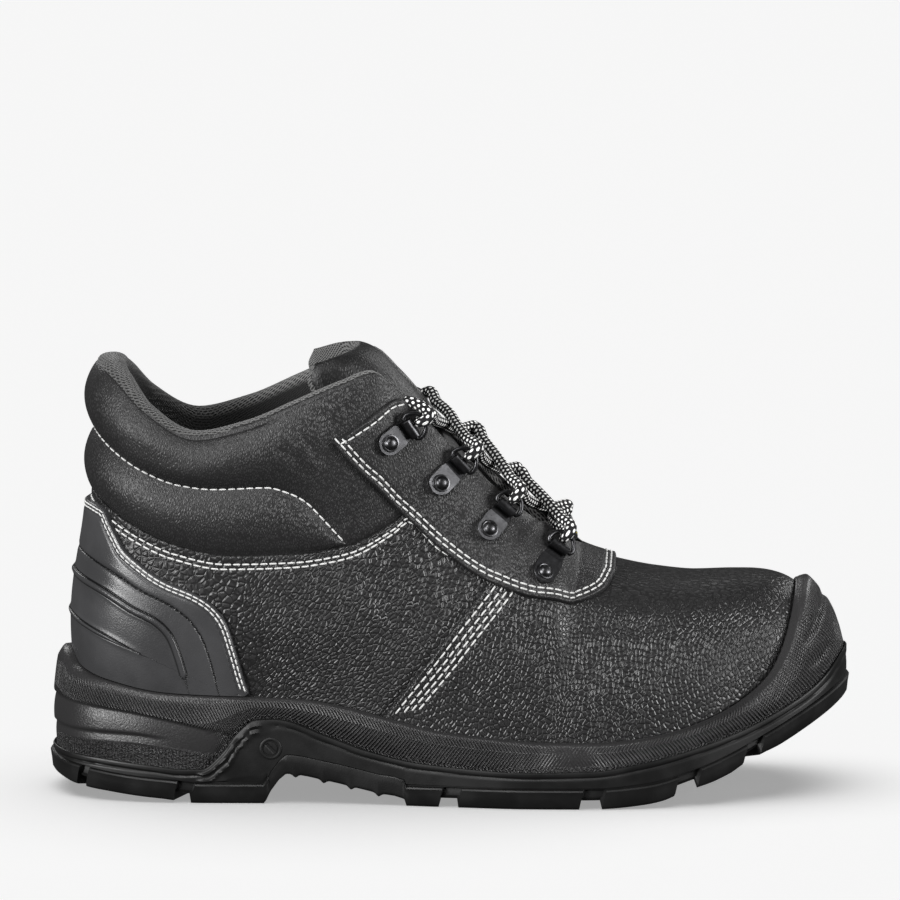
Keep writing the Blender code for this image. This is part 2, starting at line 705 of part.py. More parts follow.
def build_tongue(material):
    """Padded tongue: under the throat's edges below, and standing free above the collar."""
    sections = tongue_sections()
    outer = np.array([points for points, _ in sections])
    along = np.gradient(outer, axis=0)
    across = np.gradient(outer, axis=1)
    normal = np.cross(across, along)
    normal /= np.linalg.norm(normal, axis=2, keepdims=True)
    thickness = np.array([value for _, value in sections])[:, None, None]
    inner = outer - normal * thickness * np.array(TONGUE_EDGE)[None, :, None]
    loops = np.concatenate((outer, inner[:, ::-1]), axis=1)
    count = loops.shape[1]
    faces = wrap_faces(count, len(loops))
    half = count // 2
    for first in (0, (len(loops) - 1) * count):
        for i in range(half - 1):
            faces.append((first + i, first + i + 1, first + count - 2 - i, first + count - 1 - i))
    return make_object("tongue", to_mesh("tongue", loops.reshape(-1, 3), faces), material)


def lacing_frame(side, row):
    """Rivet and ring-bar points of one clip, with the axis to the throat, the width and the normal there."""
    rivet_place = skin_place(side, *row["rivet"])
    bar_place = skin_place(side, *row["bar"])
    lift = OVERLAY_GAP + EYESTAY_THICKNESS + CLIP_SEAT
    rivet_normal = skin_normal(rivet_place[0], rivet_place[1])
    bar_normal = skin_normal(bar_place[0], bar_place[1])
    places = np.array((rivet_place[0], bar_place[0]))
    heights = np.array((rivet_place[1], bar_place[1]))
    _, seam, quilt = panel_lines(places)
    rolls = roll_out(places, heights, seam, quilt)
    rivet = skin(rivet_place[0], rivet_place[1]) + rivet_normal * (lift + rolls[0])
    bar = skin(bar_place[0], bar_place[1]) + bar_normal * (lift + rolls[1])
    axis = (bar - rivet) / np.linalg.norm(bar - rivet)
    normal = rivet_normal + bar_normal
    normal = normal - axis * normal.dot(axis)
    normal /= np.linalg.norm(normal)
    return {"rivet": rivet, "bar": bar, "axis": axis, "normal": normal, "width": np.cross(normal, axis)}


def clip_path(reach):
    """Middle line of the clip's sheet and its half-width: a round tail, a straight run and the eye."""
    path = []
    for turn in np.radians((170, 140, 115, 90)):
        path.append((CLIP_TAIL * math.cos(turn), 0.0, CLIP_TAIL * math.sin(turn)))
    eye = RING_WIRE + GAP + CLIP_SHEET / 2
    path.append((reach * 0.55, 0.0, CLIP_WIDTH / 2))
    for turn in np.radians(np.linspace(-90, 190, EYE_STEPS)):
        path.append((reach + eye * math.cos(turn), eye + eye * math.sin(turn), EYE_WIDTH / 2))
    return np.array(path)


def build_clip(name, frame, material):
    """Sheet clip: flat under the rivet, rolled into an eye round the ring's bar."""
    path = clip_path(np.linalg.norm(frame["bar"] - frame["rivet"]))
    along = np.gradient(path[:, :2], axis=0)
    along /= np.linalg.norm(along, axis=1, keepdims=True)
    side = np.column_stack((-along[:, 1], along[:, 0])) * CLIP_SHEET / 2
    points = []
    for (forward, up, half), (lean, stand) in zip(path, side):
        for sign, across in ((-1, -half), (-1, half), (1, half), (1, -half)):
            at = frame["rivet"] + frame["axis"] * (forward + sign * lean)
            at = at + frame["normal"] * (CLIP_SHEET / 2 + up + sign * stand)
            points.append(at + frame["width"] * across)
    faces = wrap_faces(4, len(path))
    last = 4 * (len(path) - 1)
    faces += [(0, 1, 2, 3), (last, last + 1, last + 2, last + 3)]
    return make_object(name, to_mesh(name, points, faces), material)


def build_rivet(name, frame, material):
    """Domed rivet head on the clip."""
    seat = frame["rivet"] + frame["normal"] * (CLIP_SHEET + GAP)
    points = []
    for spread, rise in RIVET_PROFILE:
        for turn in np.linspace(0, 2 * math.pi, RIVET_SIDES, endpoint=False):
            reach = frame["axis"] * math.cos(turn) + frame["width"] * math.sin(turn)
            points.append(seat + reach * RIVET_RADIUS * spread + frame["normal"] * RIVET_HEIGHT * rise)
    faces = wrap_faces(RIVET_SIDES, len(RIVET_PROFILE))
    faces += [tuple(range(RIVET_SIDES)), tuple(range(len(points) - RIVET_SIDES, len(points)))]
    return make_object(name, to_mesh(name, points, faces), material)


def tube_mesh(name, path, radius, sides, closed=False):
    """Round tube along a path of points."""
    path = np.asarray(path)
    if closed:
        along = np.roll(path, -1, axis=0) - np.roll(path, 1, axis=0)
    else:
        along = np.gradient(path, axis=0)
    points = []
    across = None
    for at, direction in zip(path, along):
        direction = Vector(direction).normalized()
        if across is None:
            across = direction.orthogonal()
        across = (across - direction * across.dot(direction)).normalized()
        other = direction.cross(across)
        for turn in np.linspace(0, 2 * math.pi, sides, endpoint=False):
            points.append(at + np.array(across * math.cos(turn) + other * math.sin(turn)) * radius)
    faces = wrap_faces(sides, len(path))
    last = (len(path) - 1) * sides
    if closed:
        faces += [(last + i, last + (i + 1) % sides, (i + 1) % sides, i) for i in range(sides)]
    else:
        faces += [tuple(range(sides)), tuple(range(last, last + sides))]
    return to_mesh(name, points, faces)


def ring_path(frame):
    """Middle line of a D-ring: a straight bar in the clip's eye and a round bow towards the throat."""
    eye = RING_WIRE + GAP + CLIP_SHEET / 2
    centre = frame["bar"] + frame["normal"] * (CLIP_SHEET / 2 + eye)
    bow = frame["axis"] * math.cos(RING_TILT) + frame["normal"] * math.sin(RING_TILT)
    path = [centre - frame["width"] * RING_WIDTH * RING_BAR, centre + frame["width"] * RING_WIDTH * RING_BAR]
    for turn in np.radians(np.linspace(-8, 188, BOW_STEPS)):
        across = frame["width"] * RING_WIDTH / 2 * math.cos(turn)
        path.append(centre + across + bow * (1.0 + (RING_REACH - 1.0) * max(0, math.sin(turn))))
    return path


def ring_eye(frame):
    """Where the lace passes through a ring."""
    bow = frame["axis"] * math.cos(RING_TILT) + frame["normal"] * math.sin(RING_TILT)
    return frame["bar"] + bow * RING_REACH * 0.55 + frame["normal"] * LACE_SEAT


def lace_run(start, end):
    """Middle line of a lace run from ring to ring, clear of both and arched over the tongue."""
    span = np.linalg.norm(end - start)
    share = np.linspace(LACE_CLEARANCE / span, 1 - LACE_CLEARANCE / span, LACE_STEPS)[:, None]
    lift = INSTEP_OUT * LACE_LIFT
    return start + (end - start) * share + lift * (4 * share * (1 - share)) ** LACE_ARCH


def build_lace(frames, material):
    """Crossed lace runs between the rows of rings, one solid a crossing, the lowest with the bottom bar."""
    last = len(LACING) - 1
    for row in range(last):
        routes = [("lateral", row, "medial", row + 1), ("medial", row, "lateral", row + 1)]
        if row + 1 == last:
            routes.append(("lateral", last, "medial", last))
        part = None
        for near, start, far, end in routes:
            name = f"lace_crossing_{row + 1}" if part is None else f"lace_run_{near}_{start}_{end}"
            path = lace_run(ring_eye(frames[near][start]), ring_eye(frames[far][end]))
            run = make_object(name, tube_mesh(name, path, LACE_RADIUS, LACE_SIDES), material)
            if part is None:
                part = run
                continue
            run.hide_render = True
            run.display_type = "WIRE"
            join = part.modifiers.new("crossing", "BOOLEAN")
            join.operation = "UNION"
            join.object = run


def build_tag(material):
    """Short folded tape at the foot of the throat, lying along the tongue."""
    length, width, thickness = TAG_SIZE
    along = np.array((math.cos(TAG_SLOPE), 0, math.sin(TAG_SLOPE))) * length
    up = np.array((-math.sin(TAG_SLOPE), 0, math.cos(TAG_SLOPE))) * thickness
    points = []
    for side in (-width / 2, width / 2):
        for forward, rise in TAG_PROFILE:
            points.append(TAG_START + along * forward + up * rise + np.array((0, side, 0)))
    count = len(TAG_PROFILE)
    faces = wrap_faces(count, 2) + [tuple(range(count)), tuple(range(count, 2 * count))]
    return make_object("lace_tag", to_mesh("lace_tag", points, faces), material)


def main():
    for item in list(bpy.data.objects):
        bpy.data.objects.remove(item)
    boot = bpy.data.objects.new("boot", None)
    boot.location = (-SOLE_LENGTH / 2 * MM, 0, 0)
    bpy.context.collection.objects.link(boot)

    rubber = make_material("black_rubber", (0.016, 0.016, 0.017), 0.62)
    foam = make_material("black_polyurethane", (0.02, 0.02, 0.021), 0.55)
    leather = make_material("black_leather", (0.022, 0.022, 0.023), 0.48)
    smooth_leather = make_material("black_smooth_leather", (0.026, 0.026, 0.027), 0.42)
    moulded = make_material("counter_plastic", (0.03, 0.03, 0.032), 0.38)
    felt = make_material("insole_felt", (0.06, 0.06, 0.062), 0.9)
    metal = make_material("black_nickel", (0.05, 0.05, 0.052), 0.25, 1.0)
    cord = make_material("lace_cord", (0.03, 0.03, 0.03), 0.8)
    tape = make_material("tag_tape", (0.05, 0.05, 0.03), 0.7)

    stations = sorted(set(spread_stations(RING_STEPS)) | set(KEY_STATIONS))
    places = ring_places(stations)
    build_outsole(stations, rubber)
    build_midsole(places, foam)
    build_insole(places, felt)
    build_upper(places, leather)
    build_counter(stations, moulded)
    build_eyestay(smooth_leather)
    build_tongue(smooth_leather)

    frames = {}
    for side, sign in SIDES.items():
        frames[side] = [lacing_frame(sign, row) for row in LACING]
        for number, frame in enumerate(frames[side], start=1):
            build_clip(f"lace_clip_{side}_{number}", frame, metal)
            build_rivet(f"rivet_{side}_{number}", frame, metal)
            name = f"d_ring_{side}_{number}"
            make_object(name, tube_mesh(name, ring_path(frame), RING_WIRE, RING_SIDES, closed=True), metal)
    build_lace(frames, cord)
    build_tag(tape)


main()
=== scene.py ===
"""Looks of a black lace-up safety boot for the right foot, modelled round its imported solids.

Tables and sizes are in millimetres and become metres when a mesh is made. In them x runs forward from
the back of the heel, y from the outer (lateral) side to the inner (medial) side, and z up from the floor.
A place on the upper is "around", 0 at the heel's back and pi at the toe along the lateral side, and
"height", 0 at the feather edge and 1 at the top line: collar, throat or ridge of the vamp.
"""

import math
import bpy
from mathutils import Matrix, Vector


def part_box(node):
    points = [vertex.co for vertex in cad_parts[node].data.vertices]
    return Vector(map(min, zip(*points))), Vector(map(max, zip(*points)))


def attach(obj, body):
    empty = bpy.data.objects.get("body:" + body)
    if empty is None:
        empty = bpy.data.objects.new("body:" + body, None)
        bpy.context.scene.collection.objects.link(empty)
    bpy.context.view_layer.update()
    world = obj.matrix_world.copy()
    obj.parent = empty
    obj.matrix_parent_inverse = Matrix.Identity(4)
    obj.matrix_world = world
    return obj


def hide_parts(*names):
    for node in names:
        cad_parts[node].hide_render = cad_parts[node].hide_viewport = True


bl_info = {
    "name": "Safety Boot Looks",
    "version": (1, 0, 0),
    "blender": (4, 5, 0),
    "location": "3D View > Sidebar > Boot",
    "description": "Models the leather, padding, stitching, lace and sole of a safety boot on its solids",
    "category": "Object",
}

import bmesh
import bpy
import numpy as np
from mathutils import Vector

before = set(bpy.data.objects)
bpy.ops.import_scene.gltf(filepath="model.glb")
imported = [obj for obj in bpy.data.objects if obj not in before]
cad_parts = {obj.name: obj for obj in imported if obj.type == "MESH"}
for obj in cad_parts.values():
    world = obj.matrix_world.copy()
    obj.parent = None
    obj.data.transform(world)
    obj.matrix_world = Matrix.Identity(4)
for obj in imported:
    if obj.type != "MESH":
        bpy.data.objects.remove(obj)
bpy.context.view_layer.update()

MM = 0.001
TURN = 2 * math.pi
INSTEP_OUT = np.array((0.7, 0, 0.7))
LATERAL = -1
MEDIAL = 1
SIDES = {"lateral": LATERAL, "medial": MEDIAL}

# Driving sizes, from the frame
SOLE_BOX = [np.array(corner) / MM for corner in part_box("outsole")]
SOLE_LENGTH = float(SOLE_BOX[1][0] - SOLE_BOX[0][0])
HEEL_BACK = np.array((SOLE_BOX[0][0], 0, 0))

# The upper's layers, counted from its outer face
GAP = 0.3
WALL = 2.4
COLLAR_WALL = 7.5
BASE_DEPTH = 1.5
PANEL_DEPTH = 1.4
BELLY_TOP = 0.63
THROAT_FRONT = 196.0
ROLL_FULLNESS = 0.8
ROLL_SLIMNESS = 0.28
RIM_CROWN = 3.0
COLLAR_FRONT = 139.0
COLLAR_TUCK = 0.9
VAMP_STEP = 1.1
VAMP_FLAT = 6.0
VAMP_FADE = 64.0
VAMP_OVERLAP = 0.06
VAMP_DIP = 0.7
DRAWN_FROM = (66, 96)
DRAWN_BELOW = (0.5, 0.78)
EYESTAY_TOP = 128.5
EYESTAY_FRONT = 214.3
EYESTAY_SEAT = 0.6
EYESTAY_THICKNESS = 1.3
COUNTER_SEAT = 0.5
COUNTER_THICKNESS = 1.9
COUNTER_FLANGE = 3.3

# The sole
FLOOR_BELOW_FEATHER = 1.0
MIDSOLE_FLOOR = 4.5
LEAST_LIP = 0.8
LIP_CLEARANCE = 0.4
LUG_HEIGHT = 7.5
LUG_PROUD = 1.0
LUG_DRAFT = 1.2
GROOVE_DEPTH = 3.2
NOTCH_INSET = 2.6
NOTCH_WALL = 0.3
LUG_REACH = 0.55
CHANNEL = 0.06
GROOVE_WALL = 0.02
PAD_DEPTH = 0.6
MEAN_BREADTH = 76.0
TOE_SHIFT = 7.0
END_ZONE = 62.0
INSOLE_THICKNESS = 3.6
INSOLE_MARGIN = 0.9

# Tongue
TONGUE_CROWN = 1.6
TONGUE_CLEARANCE = 1.8
TONGUE_THICKNESS = 6.0
TONGUE_TURNS = np.radians((-90, -62, -32, 0, 32, 62, 90))

# Lacing hardware and lace
CLIP_SEAT = 0.9
CLIP_WIDTH = 9.4
EYE_WIDTH = 7.4
CLIP_SHEET = 1.0
CLIP_TAIL = 4.6
RIVET_RADIUS = 2.9
RIVET_HEIGHT = 1.7
RING_WIRE = 0.85
RING_SIDES = 12
RING_WIDTH = 10.4
RING_BAR = 0.45
RING_REACH = 6.2
RING_TILT = math.radians(14.0)
TAG_SIZE = (10.5, 8.0, 2.6)
TAG_START = np.array((189.0, 2.0, 98.2))
TAG_SLOPE = math.radians(-25.5)
TAG_SWELL = 0.15
TAG_ROUNDING = 0.25
TAG_ACROSS = (-1, -0.97, -0.9, -0.45, 0, 0.45, 0.9, 0.97, 1)


def angle_of(station):
    """Place round the sole, 0 at the heel's back and pi at the toe, of a station along its length."""
    return np.arccos(np.clip(1 - 2 * np.asarray(station, float) / SOLE_LENGTH, -1, 1))


def station_of(around):
    """Station along the sole of a place round it."""
    return SOLE_LENGTH * (1 - np.cos(around)) / 2


def smooth(keys, values, at, level_ends=False):
    """Cubic curve through the points of a table that never overshoots them."""
    step = np.diff(keys)
    slope = np.diff(values) / step
    tangent = np.zeros(len(values))
    if not level_ends:
        tangent[0] = slope[0]
        tangent[-1] = slope[-1]
    for i in range(1, len(slope)):
        if slope[i - 1] * slope[i] > 0:
            before = 2 * step[i] + step[i - 1]
            after = step[i] + 2 * step[i - 1]
            tangent[i] = (before + after) / (before / slope[i - 1] + after / slope[i])
    at = np.clip(at, keys[0], keys[-1])
    i = np.clip(np.searchsorted(keys, at, side="right") - 1, 0, len(step) - 1)
    t = (at - keys[i]) / step[i]
    start = values[i] * (1 + 2 * t) * (1 - t) ** 2 + tangent[i] * step[i] * t * (1 - t) ** 2
    end = values[i + 1] * t * t * (3 - 2 * t) - tangent[i + 1] * step[i] * t * t * (1 - t)
    return start + end


def eased(value, start, end):
    """0 before start, 1 after end, and an even S between them."""
    t = np.clip((value - start) / (end - start), 0, 1)
    return t * t * (3 - 2 * t)


def bell(off, half):
    """Soft hump, 1 in its middle, that fades over a half-width."""
    return np.exp(-((off / half) ** 2))


def unit(vectors):
    """Vectors of length one."""
    return vectors / np.linalg.norm(vectors, axis=-1, keepdims=True)


def on_side(side, around):
    """Place round the sole of a lateral place, or of its mirror image on the medial side."""
    return TURN - around if side == MEDIAL else around


def raised(face, normal, lift):
    """Points of a face moved out along its normals."""
    return face + normal * lift[..., None]


class Table:
    """Rows of sizes with named columns, read as smooth curves over the first column.

    The level columns have curves that start and end level, so that both sides of the boot meet roundly.
    """

    def __init__(self, columns, *rows, along=np.asarray, level=""):
        self.names = columns.split()
        self.level = level.split()
        self.rows = np.array(rows, float)
        self.along = along

    def __call__(self, name, at):
        column = self.rows[:, self.names.index(name)]
        return smooth(self.along(self.rows[:, 0]), column, self.along(at), name in self.level)


# Outline of the sole at its widest, half-breadths to both sides of the heel's axis. The upper's feather
# edge lies "inset" inside it, at the height "feather".
SOLE_PLAN = Table(
    "station lateral medial inset feather",
    (0, 0, 0, 11.6, 27.0),
    (3, 15, 15, 11.0, 27.0),
    (8, 24, 24, 10.0, 27.0),
    (20, 32, 32, 8.6, 27.0),
    (40, 37.5, 37, 7.6, 26.8),
    (60, 39, 37.5, 7.0, 26.4),
    (90, 39.5, 35, 6.6, 25.4),
    (120, 42, 33.5, 6.5, 22.4),
    (150, 47, 38, 6.6, 18.0),
    (180, 51.5, 46, 7.0, 15.7),
    (200, 52, 50.5, 7.0, 15.5),
    (220, 50.5, 52, 7.2, 16.6),
    (245, 44, 50, 7.6, 21.5),
    (265, 35.6, 46.6, 8.2, 28.0),
    (282, 27.4, 41.0, 8.8, 34.0),
    (294, 16.4, 30.8, 9.2, 38.5),
    (299, 7.0, 21.6, 9.2, 40.2),
    (302, -7.2, 7.2, 9.2, 41.0),
    along=angle_of,
    level="inset feather",
)

# One row for each rib of the upper. A rib's top is at top_x, top_z, and half to the side of centre. Dome
# goes from 0, a standing wall, to 1, an arch of the given power; belly swells the wall's lower part.
RIBS = Table(
    "station top_x top_z half centre dome power belly",
    (0, 18.5, 162.4, 0, 0, 0, 2.2, 3.4),
    (3, 20.5, 161.4, 11, 0, 0, 2.2, 3.3),
    (8, 25.5, 157.8, 19.5, 0, 0, 2.2, 3.1),
    (20, 37, 146.8, 29, 0, 0, 2.2, 2.9),
    (40, 56, 137.2, 34, 0, 0, 2.2, 2.5),
    (60, 75, 141.4, 36, 0, 0, 2.2, 2.4),
    (80, 94, 149.4, 36.5, 0, 0, 2.2, 2.5),
    (100, 112, 157.0, 35.5, 0, 0.05, 2.2, 2.8),
    (116, 123, 160.8, 33, 0, 0.15, 2.2, 3.0),
    (128, 132.5, 154.0, 28, 0, 0.3, 2.2, 2.9),
    (145, 150.4, 134.0, 23, 0.5, 0.55, 2.2, 2.3),
    (163, 168, 115.5, 20, 1, 0.75, 2.2, 1.4),
    (180, 184, 101.7, 16, 1.5, 0.92, 2.25, 0.6),
    (190, 193, 94.6, 11, 2, 1, 2.3, 0.2),
    (196, 200, 90.0, 0, 2, 1, 2.3, 0),
    (215, 214, 85.6, 0, 3, 1, 2.35, 0),
    (235, 228, 82.8, 0, 4, 1, 2.4, 0),
    (255, 241, 81.3, 0, 5, 1, 2.5, 0),
    (275, 253, 81.6, 0, 6, 1, 2.6, 0),
    (290, 259.5, 81.6, 0, 6.6, 1, 2.7, 0),
    (302, 262, 81.6, 0, 7, 1, 2.75, 0),
    along=angle_of,
    level="top_x top_z belly",
)

# Lines on the upper as seen from the side: the sole's rim with the toe bumper's edge, the collar's lower
# edge, its quilted valley, which turns down to that edge, and the quarter's top, hidden by the eyestay
# at its front.
RIM = Table(
    "x z",
    (8, 56.0), (10.7, 53.8), (14.3, 48.6), (26, 44.4), (45, 41.1), (71, 40.0), (94, 39.2), (113, 36.0),
    (132, 31.1), (150, 27.2), (169, 25.5), (188, 24.2), (207, 24.2), (222, 25.4), (237, 28.2), (252, 33.4),
    (263, 39.7), (270.7, 46.8), (276, 56.9), (279, 67.0), (281, 76.0), (284, 90.0),
)
COLLAR_SEAM = (
    (8, 121.0), (15, 115.3), (30, 105.2), (49, 97.0), (67.7, 93.6), (94, 94.4), (113, 97.6), (131.4, 106.9),
)
COLLAR_EDGE = Table("x z", *COLLAR_SEAM, (142, 113.0))
QUILT = Table(
    "x z",
    (15, 139.5), (18.8, 136.3), (25.6, 130.7), (37.6, 123.9), (49, 120.0), (62, 118.6), (82.7, 119.4),
    (90, 117.6), (97, 114.0), (102.6, 108.4), (107.5, 103.0), (113, 97.0), (120, 89.0),
)
QUARTER_TOP = Table(
    "x z", *COLLAR_SEAM, (137, 111.0), (150, 100.0), (165, 92.0), (180, 86.0), (200, 84.0),
)
COUNTER_EDGE = ((22.6, 108.7), (27, 99.5), (30, 94.3), (37.6, 87.9), (52.6, 80.4), (61.2, 75.8), (67, 69),
                (71, 57.5), (74.2, 46), (75.8, 41.2))
COUNTER_FOOT = 73.2
EYESTAY_EDGE = ((106, 137.4), (118.4, 123.7), (131.6, 110.3), (150.4, 93.3), (161.7, 85.6), (176.7, 79.0),
                (191.7, 75.6), (203, 75.6), (209.8, 79.0), (213.0, 83.0))
EYESTAY_END = ((106, 137.4), (119.4, 144.9), (132.4, 152.1))
VAMP_EDGE = ((122.0, 27.0), (128.0, 34.6), (145.6, 57.6), (163.2, 80.6), (172.4, 92.6))
VAMP_TOP_STATION = 180.0

# Relief of the counter: each line seen from the side, its rise, half-width and taper at its front.
COUNTER_RELIEF = (
    {"line": ((8, 93.5), (12.4, 92.2), (24.8, 86.3), (36.5, 79.3), (46.7, 74.5), (53.8, 69.2), (58.7, 62),
              (61.7, 53.2), (64.4, 42.2)), "rise": -0.3, "half": 1.0, "taper": 6.0},
    {"line": ((8, 84.5), (10.5, 83.5), (21.5, 79), (32.4, 72.6), (42.2, 67.7), (46.7, 62.7), (49.7, 55.1),
              (52, 47.1)), "rise": 1.1, "half": 1.3, "taper": 2.0},
    {"line": ((8, 69.2), (9.4, 68.5), (17.7, 64.4), (24.8, 61.2), (35, 56.6)),
     "rise": 0.8, "half": 1.2, "taper": 16.0},
)

# How far the two padded rolls of the collar stand out, and how much of the collar's wall is padded.
COLLAR_ROLLS = Table(
    "station lower upper padding",
    (0, 3.4, 4.4, 1.6), (10, 3.4, 4.4, 1.2), (20, 3.3, 4.2, 1), (60, 3.2, 4.0, 1), (84, 3.0, 3.2, 1),
    (104, 1.6, 2.4, 0.9), (122, 0.4, 1.2, 0.5), (134, 0, 0, 0), (302, 0, 0, 0),
)

# The outsole's side: its upper edge, with the arch bridge and the toe lip, the lip's width, and the bottom
# with the heel's bevel, the arch and the toe spring.
EDGE = Table(
    "station z",
    (0, 17.2), (10, 16.6), (18, 16.0), (39, 14.0), (50, 12.8), (58, 12.9), (65, 18.3), (72, 27.2),
    (78, 31.6), (85, 32.0), (105, 25.6), (120, 20.3), (140, 16.2), (180, 13.9), (203, 14.3), (222, 17.0),
    (259, 26.7), (278, 35.3), (290, 42.3), (302, 53.5),
)
LIP = Table(
    "station width",
    (0, 1.8), (50, 1.8), (62, 3.2), (80, 4), (110, 4), (140, 2.2), (200, 2), (265, 2.0), (302, 1.8),
)
BOTTOM = Table(
    "station z",
    (0, 7.4), (4, 6.3), (12, 5.0), (20, 3.8), (33, 2.3), (47, 1.1), (58, 0), (81, 0), (84, 5.0), (90, 11.2),
    (105, 8.7), (124, 4.4), (133.6, 2.4), (134.4, 0), (205, 0), (225, 1.5), (244, 6.5), (258, 12.0),
    (273, 19.5), (288, 27.5), (302, 35.0),
)

# The midsole's wall: how far it swells between rim and lip, its thickness at the rim, and the swell's
# shape from the lip up.
WALL_FORM = Table(
    "station swell rim",
    (0, 2.4, 5.6), (8, 2.2, 4.6), (30, 1.6, 3.0), (80, 1.2, 3.0), (200, 0.9, 3.0), (260, 2.2, 3.0),
    (290, 4.4, 2.0), (302, 5.0, 1.8),
)
SWELL = Table("up share", (0, 0), (0.2, 0.55), (0.4, 0.9), (0.56, 1.0), (0.75, 0.92), (0.9, 0.75), (1, 0))
HEEL_WAVES = (
    {"line": Table("x z", (0, 37.5), (8.3, 36.7), (32.4, 33.9), (61, 27.8), (75, 24)), "fade": (58, 78)},
    {"line": Table("x z", (0, 26.4), (29.4, 26.0), (45, 24.5), (75, 20)), "fade": (34, 48)},
)
WAVE_DEPTH = 1.3
WAVE_RUN = 4.0
KNURL_FOLD = 0.64
KNURL_TURN = 196.0
KNURL_HEEL = (60, 80)
KNURL_TOE = (255, 275)
TOE_FLUTES = (
    {"line": ((281.5, 55.0), (286.5, 62.5), (290.3, 71.5)), "depth": 2.0, "half": 1.6},
    {"line": ((284.0, 47.5), (289.0, 51.0), (293.6, 55.5)), "depth": 1.9, "half": 1.5},
)

# Lug notches and the flat pads of the tread, from station to station, and the heel breast.
NOTCHES = ((12, 15), (49, 55), (148, 155), (201, 209), (237, 245), (263, 269))
PADS = ((26, 46), (58, 76), (160, 196), (214, 234))
BREAST_STATIONS = (81, 82.5, 84, 87, 90, 133.6, 134.4)
ARCH = ((83, 134),)
ARCH_BUMPS = (93, 103.5, 113.7, 124)
BUMP_DROP = 1.2
BUMP_HALF = 1.1
LUG_LEAN = 1.6
LUG_SHADOW = 0.6
LEDGE_DEPTH = 0.5
LEDGE_DROP = 2.4
LEDGE_HALF = 0.45
BRIDGE_RIDGES = (1.9, 4.3)
BRIDGE_RISE = (55, 60)
BRIDGE_FALL = (78, 84)
RIDGE_HALF = 0.5

# Round plug on the arch bridge: its place seen from the side, rings as radius and rise, and its slot.
PLUG_PLACE = (83.8, 21.0)
PLUG_RINGS = (
    (0, 0.35), (0.5, 0.35), (1.0, 0.35), (1.5, 0.35), (2.0, 0.35), (2.4, 0.3), (2.6, -0.1), (2.8, -0.25),
    (3.0, -0.1), (3.2, 0.4), (3.5, 0.5), (3.9, 0.45), (4.1, 0.3), (4.2, -0.8),
)
PLUG_SLOT = {"depth": 0.7, "half": 0.75, "reach": 2.3}

# Places of the lacing on the lateral face, seen from the side: rivet, and middle of the ring's bar.
LACING = (
    {"rivet": (127.0, 136.0), "bar": (134.4, 140.9)},
    {"rivet": (146.8, 119.8), "bar": (153.2, 125.9)},
    {"rivet": (164.9, 102.2), "bar": (170.1, 108.3)},
    {"rivet": (185.5, 85.8), "bar": (189.5, 92.6)},
)

# The tongue under the throat follows these ribs, from a height on the wall up, and above the collar these
# free sections.
TONGUE_RIBS = ((186, 0.87), (179, 0.86), (170, 0.86), (160, 0.87), (150, 0.88), (141, 0.9))
TONGUE_TOP = (
    {"front": (141.0, 147.2), "wing": (128, 138), "half": 23.2, "thickness": 6.0},
    {"front": (137.6, 151.5), "wing": (114, 145), "half": 23.6, "thickness": 6.5},
    {"front": (132.0, 158.0), "wing": (102, 151), "half": 23.6, "thickness": 7.0},
    {"front": (125.4, 165.2), "wing": (98, 158.5), "half": 23.0, "thickness": 6.5},
    {"front": (118.0, 170.2), "wing": (100, 164), "half": 21.6, "thickness": 3.5},
)

# Main creases of the leather on the lateral side, mirrored to the medial side: line seen from the side,
# depth of the trough (a ridge where it is below zero) and half-width.
CREASES = (
    {"line": ((96, 139.5), (100, 134.5), (103.5, 128)), "depth": 0.7, "half": 2.2},
    {"line": ((88, 136), (93.5, 131), (97, 124.5)), "depth": 0.5, "half": 2.4},
    {"line": ((30, 137), (45, 130), (60, 128)), "depth": 0.35, "half": 3.0},
    {"line": ((118, 88), (124, 80), (131, 71)), "depth": 0.5, "half": 3.2},
    {"line": ((86, 78), (97, 73), (110, 72)), "depth": 0.35, "half": 3.5},
    {"line": ((196, 68), (214, 66), (232, 64)), "depth": 0.45, "half": 2.6},
    {"line": ((205, 60), (222, 58), (240, 57)), "depth": 0.35, "half": 3.0},
)


def outline(around):
    """Outline of the sole seen from above, as x and y."""
    around = np.mod(around, TURN)
    station = station_of(around)
    y = np.where(around <= math.pi, -SOLE_PLAN("lateral", station), SOLE_PLAN("medial", station))
    return np.stack((station, y), axis=-1)


def outward(around):
    """Outward direction of the outline seen from above."""
    step = 1e-3
    along = unit(outline(around + step) - outline(around - step))
    return np.stack((along[..., 1], -along[..., 0]), axis=-1)


def skin(around, height):
    """Points of the upper's outer face."""
    around, height = np.broadcast_arrays(np.asarray(around, float), np.asarray(height, float))
    station = station_of(around)
    out = outward(around)
    foot = outline(around) - out * SOLE_PLAN("inset", station)[..., None]
    side = np.where(np.mod(around, TURN) <= math.pi, LATERAL, MEDIAL)
    dome = RIBS("dome", station)
    power = RIBS("power", station)
    spread = (1 - dome) * (1 - height) + dome * np.cos(height * math.pi / 2).clip(0, 1) ** (2 / power)
    rise = (1 - dome) * height + dome * np.sin(height * math.pi / 2) ** (2 / power)
    belly = RIBS("belly", station) * np.sin(math.pi * np.clip(height / BELLY_TOP, 0, 1)) ** 2
    top_x = RIBS("top_x", station)
    top_y = RIBS("centre", station) + side * RIBS("half", station)
    feather = SOLE_PLAN("feather", station)
    x = top_x + (foot[..., 0] - top_x) * spread + out[..., 0] * belly
    y = top_y + (foot[..., 1] - top_y) * spread + out[..., 1] * belly
    z = feather + (RIBS("top_z", station) - feather) * rise
    return np.stack((x, y, z), axis=-1)


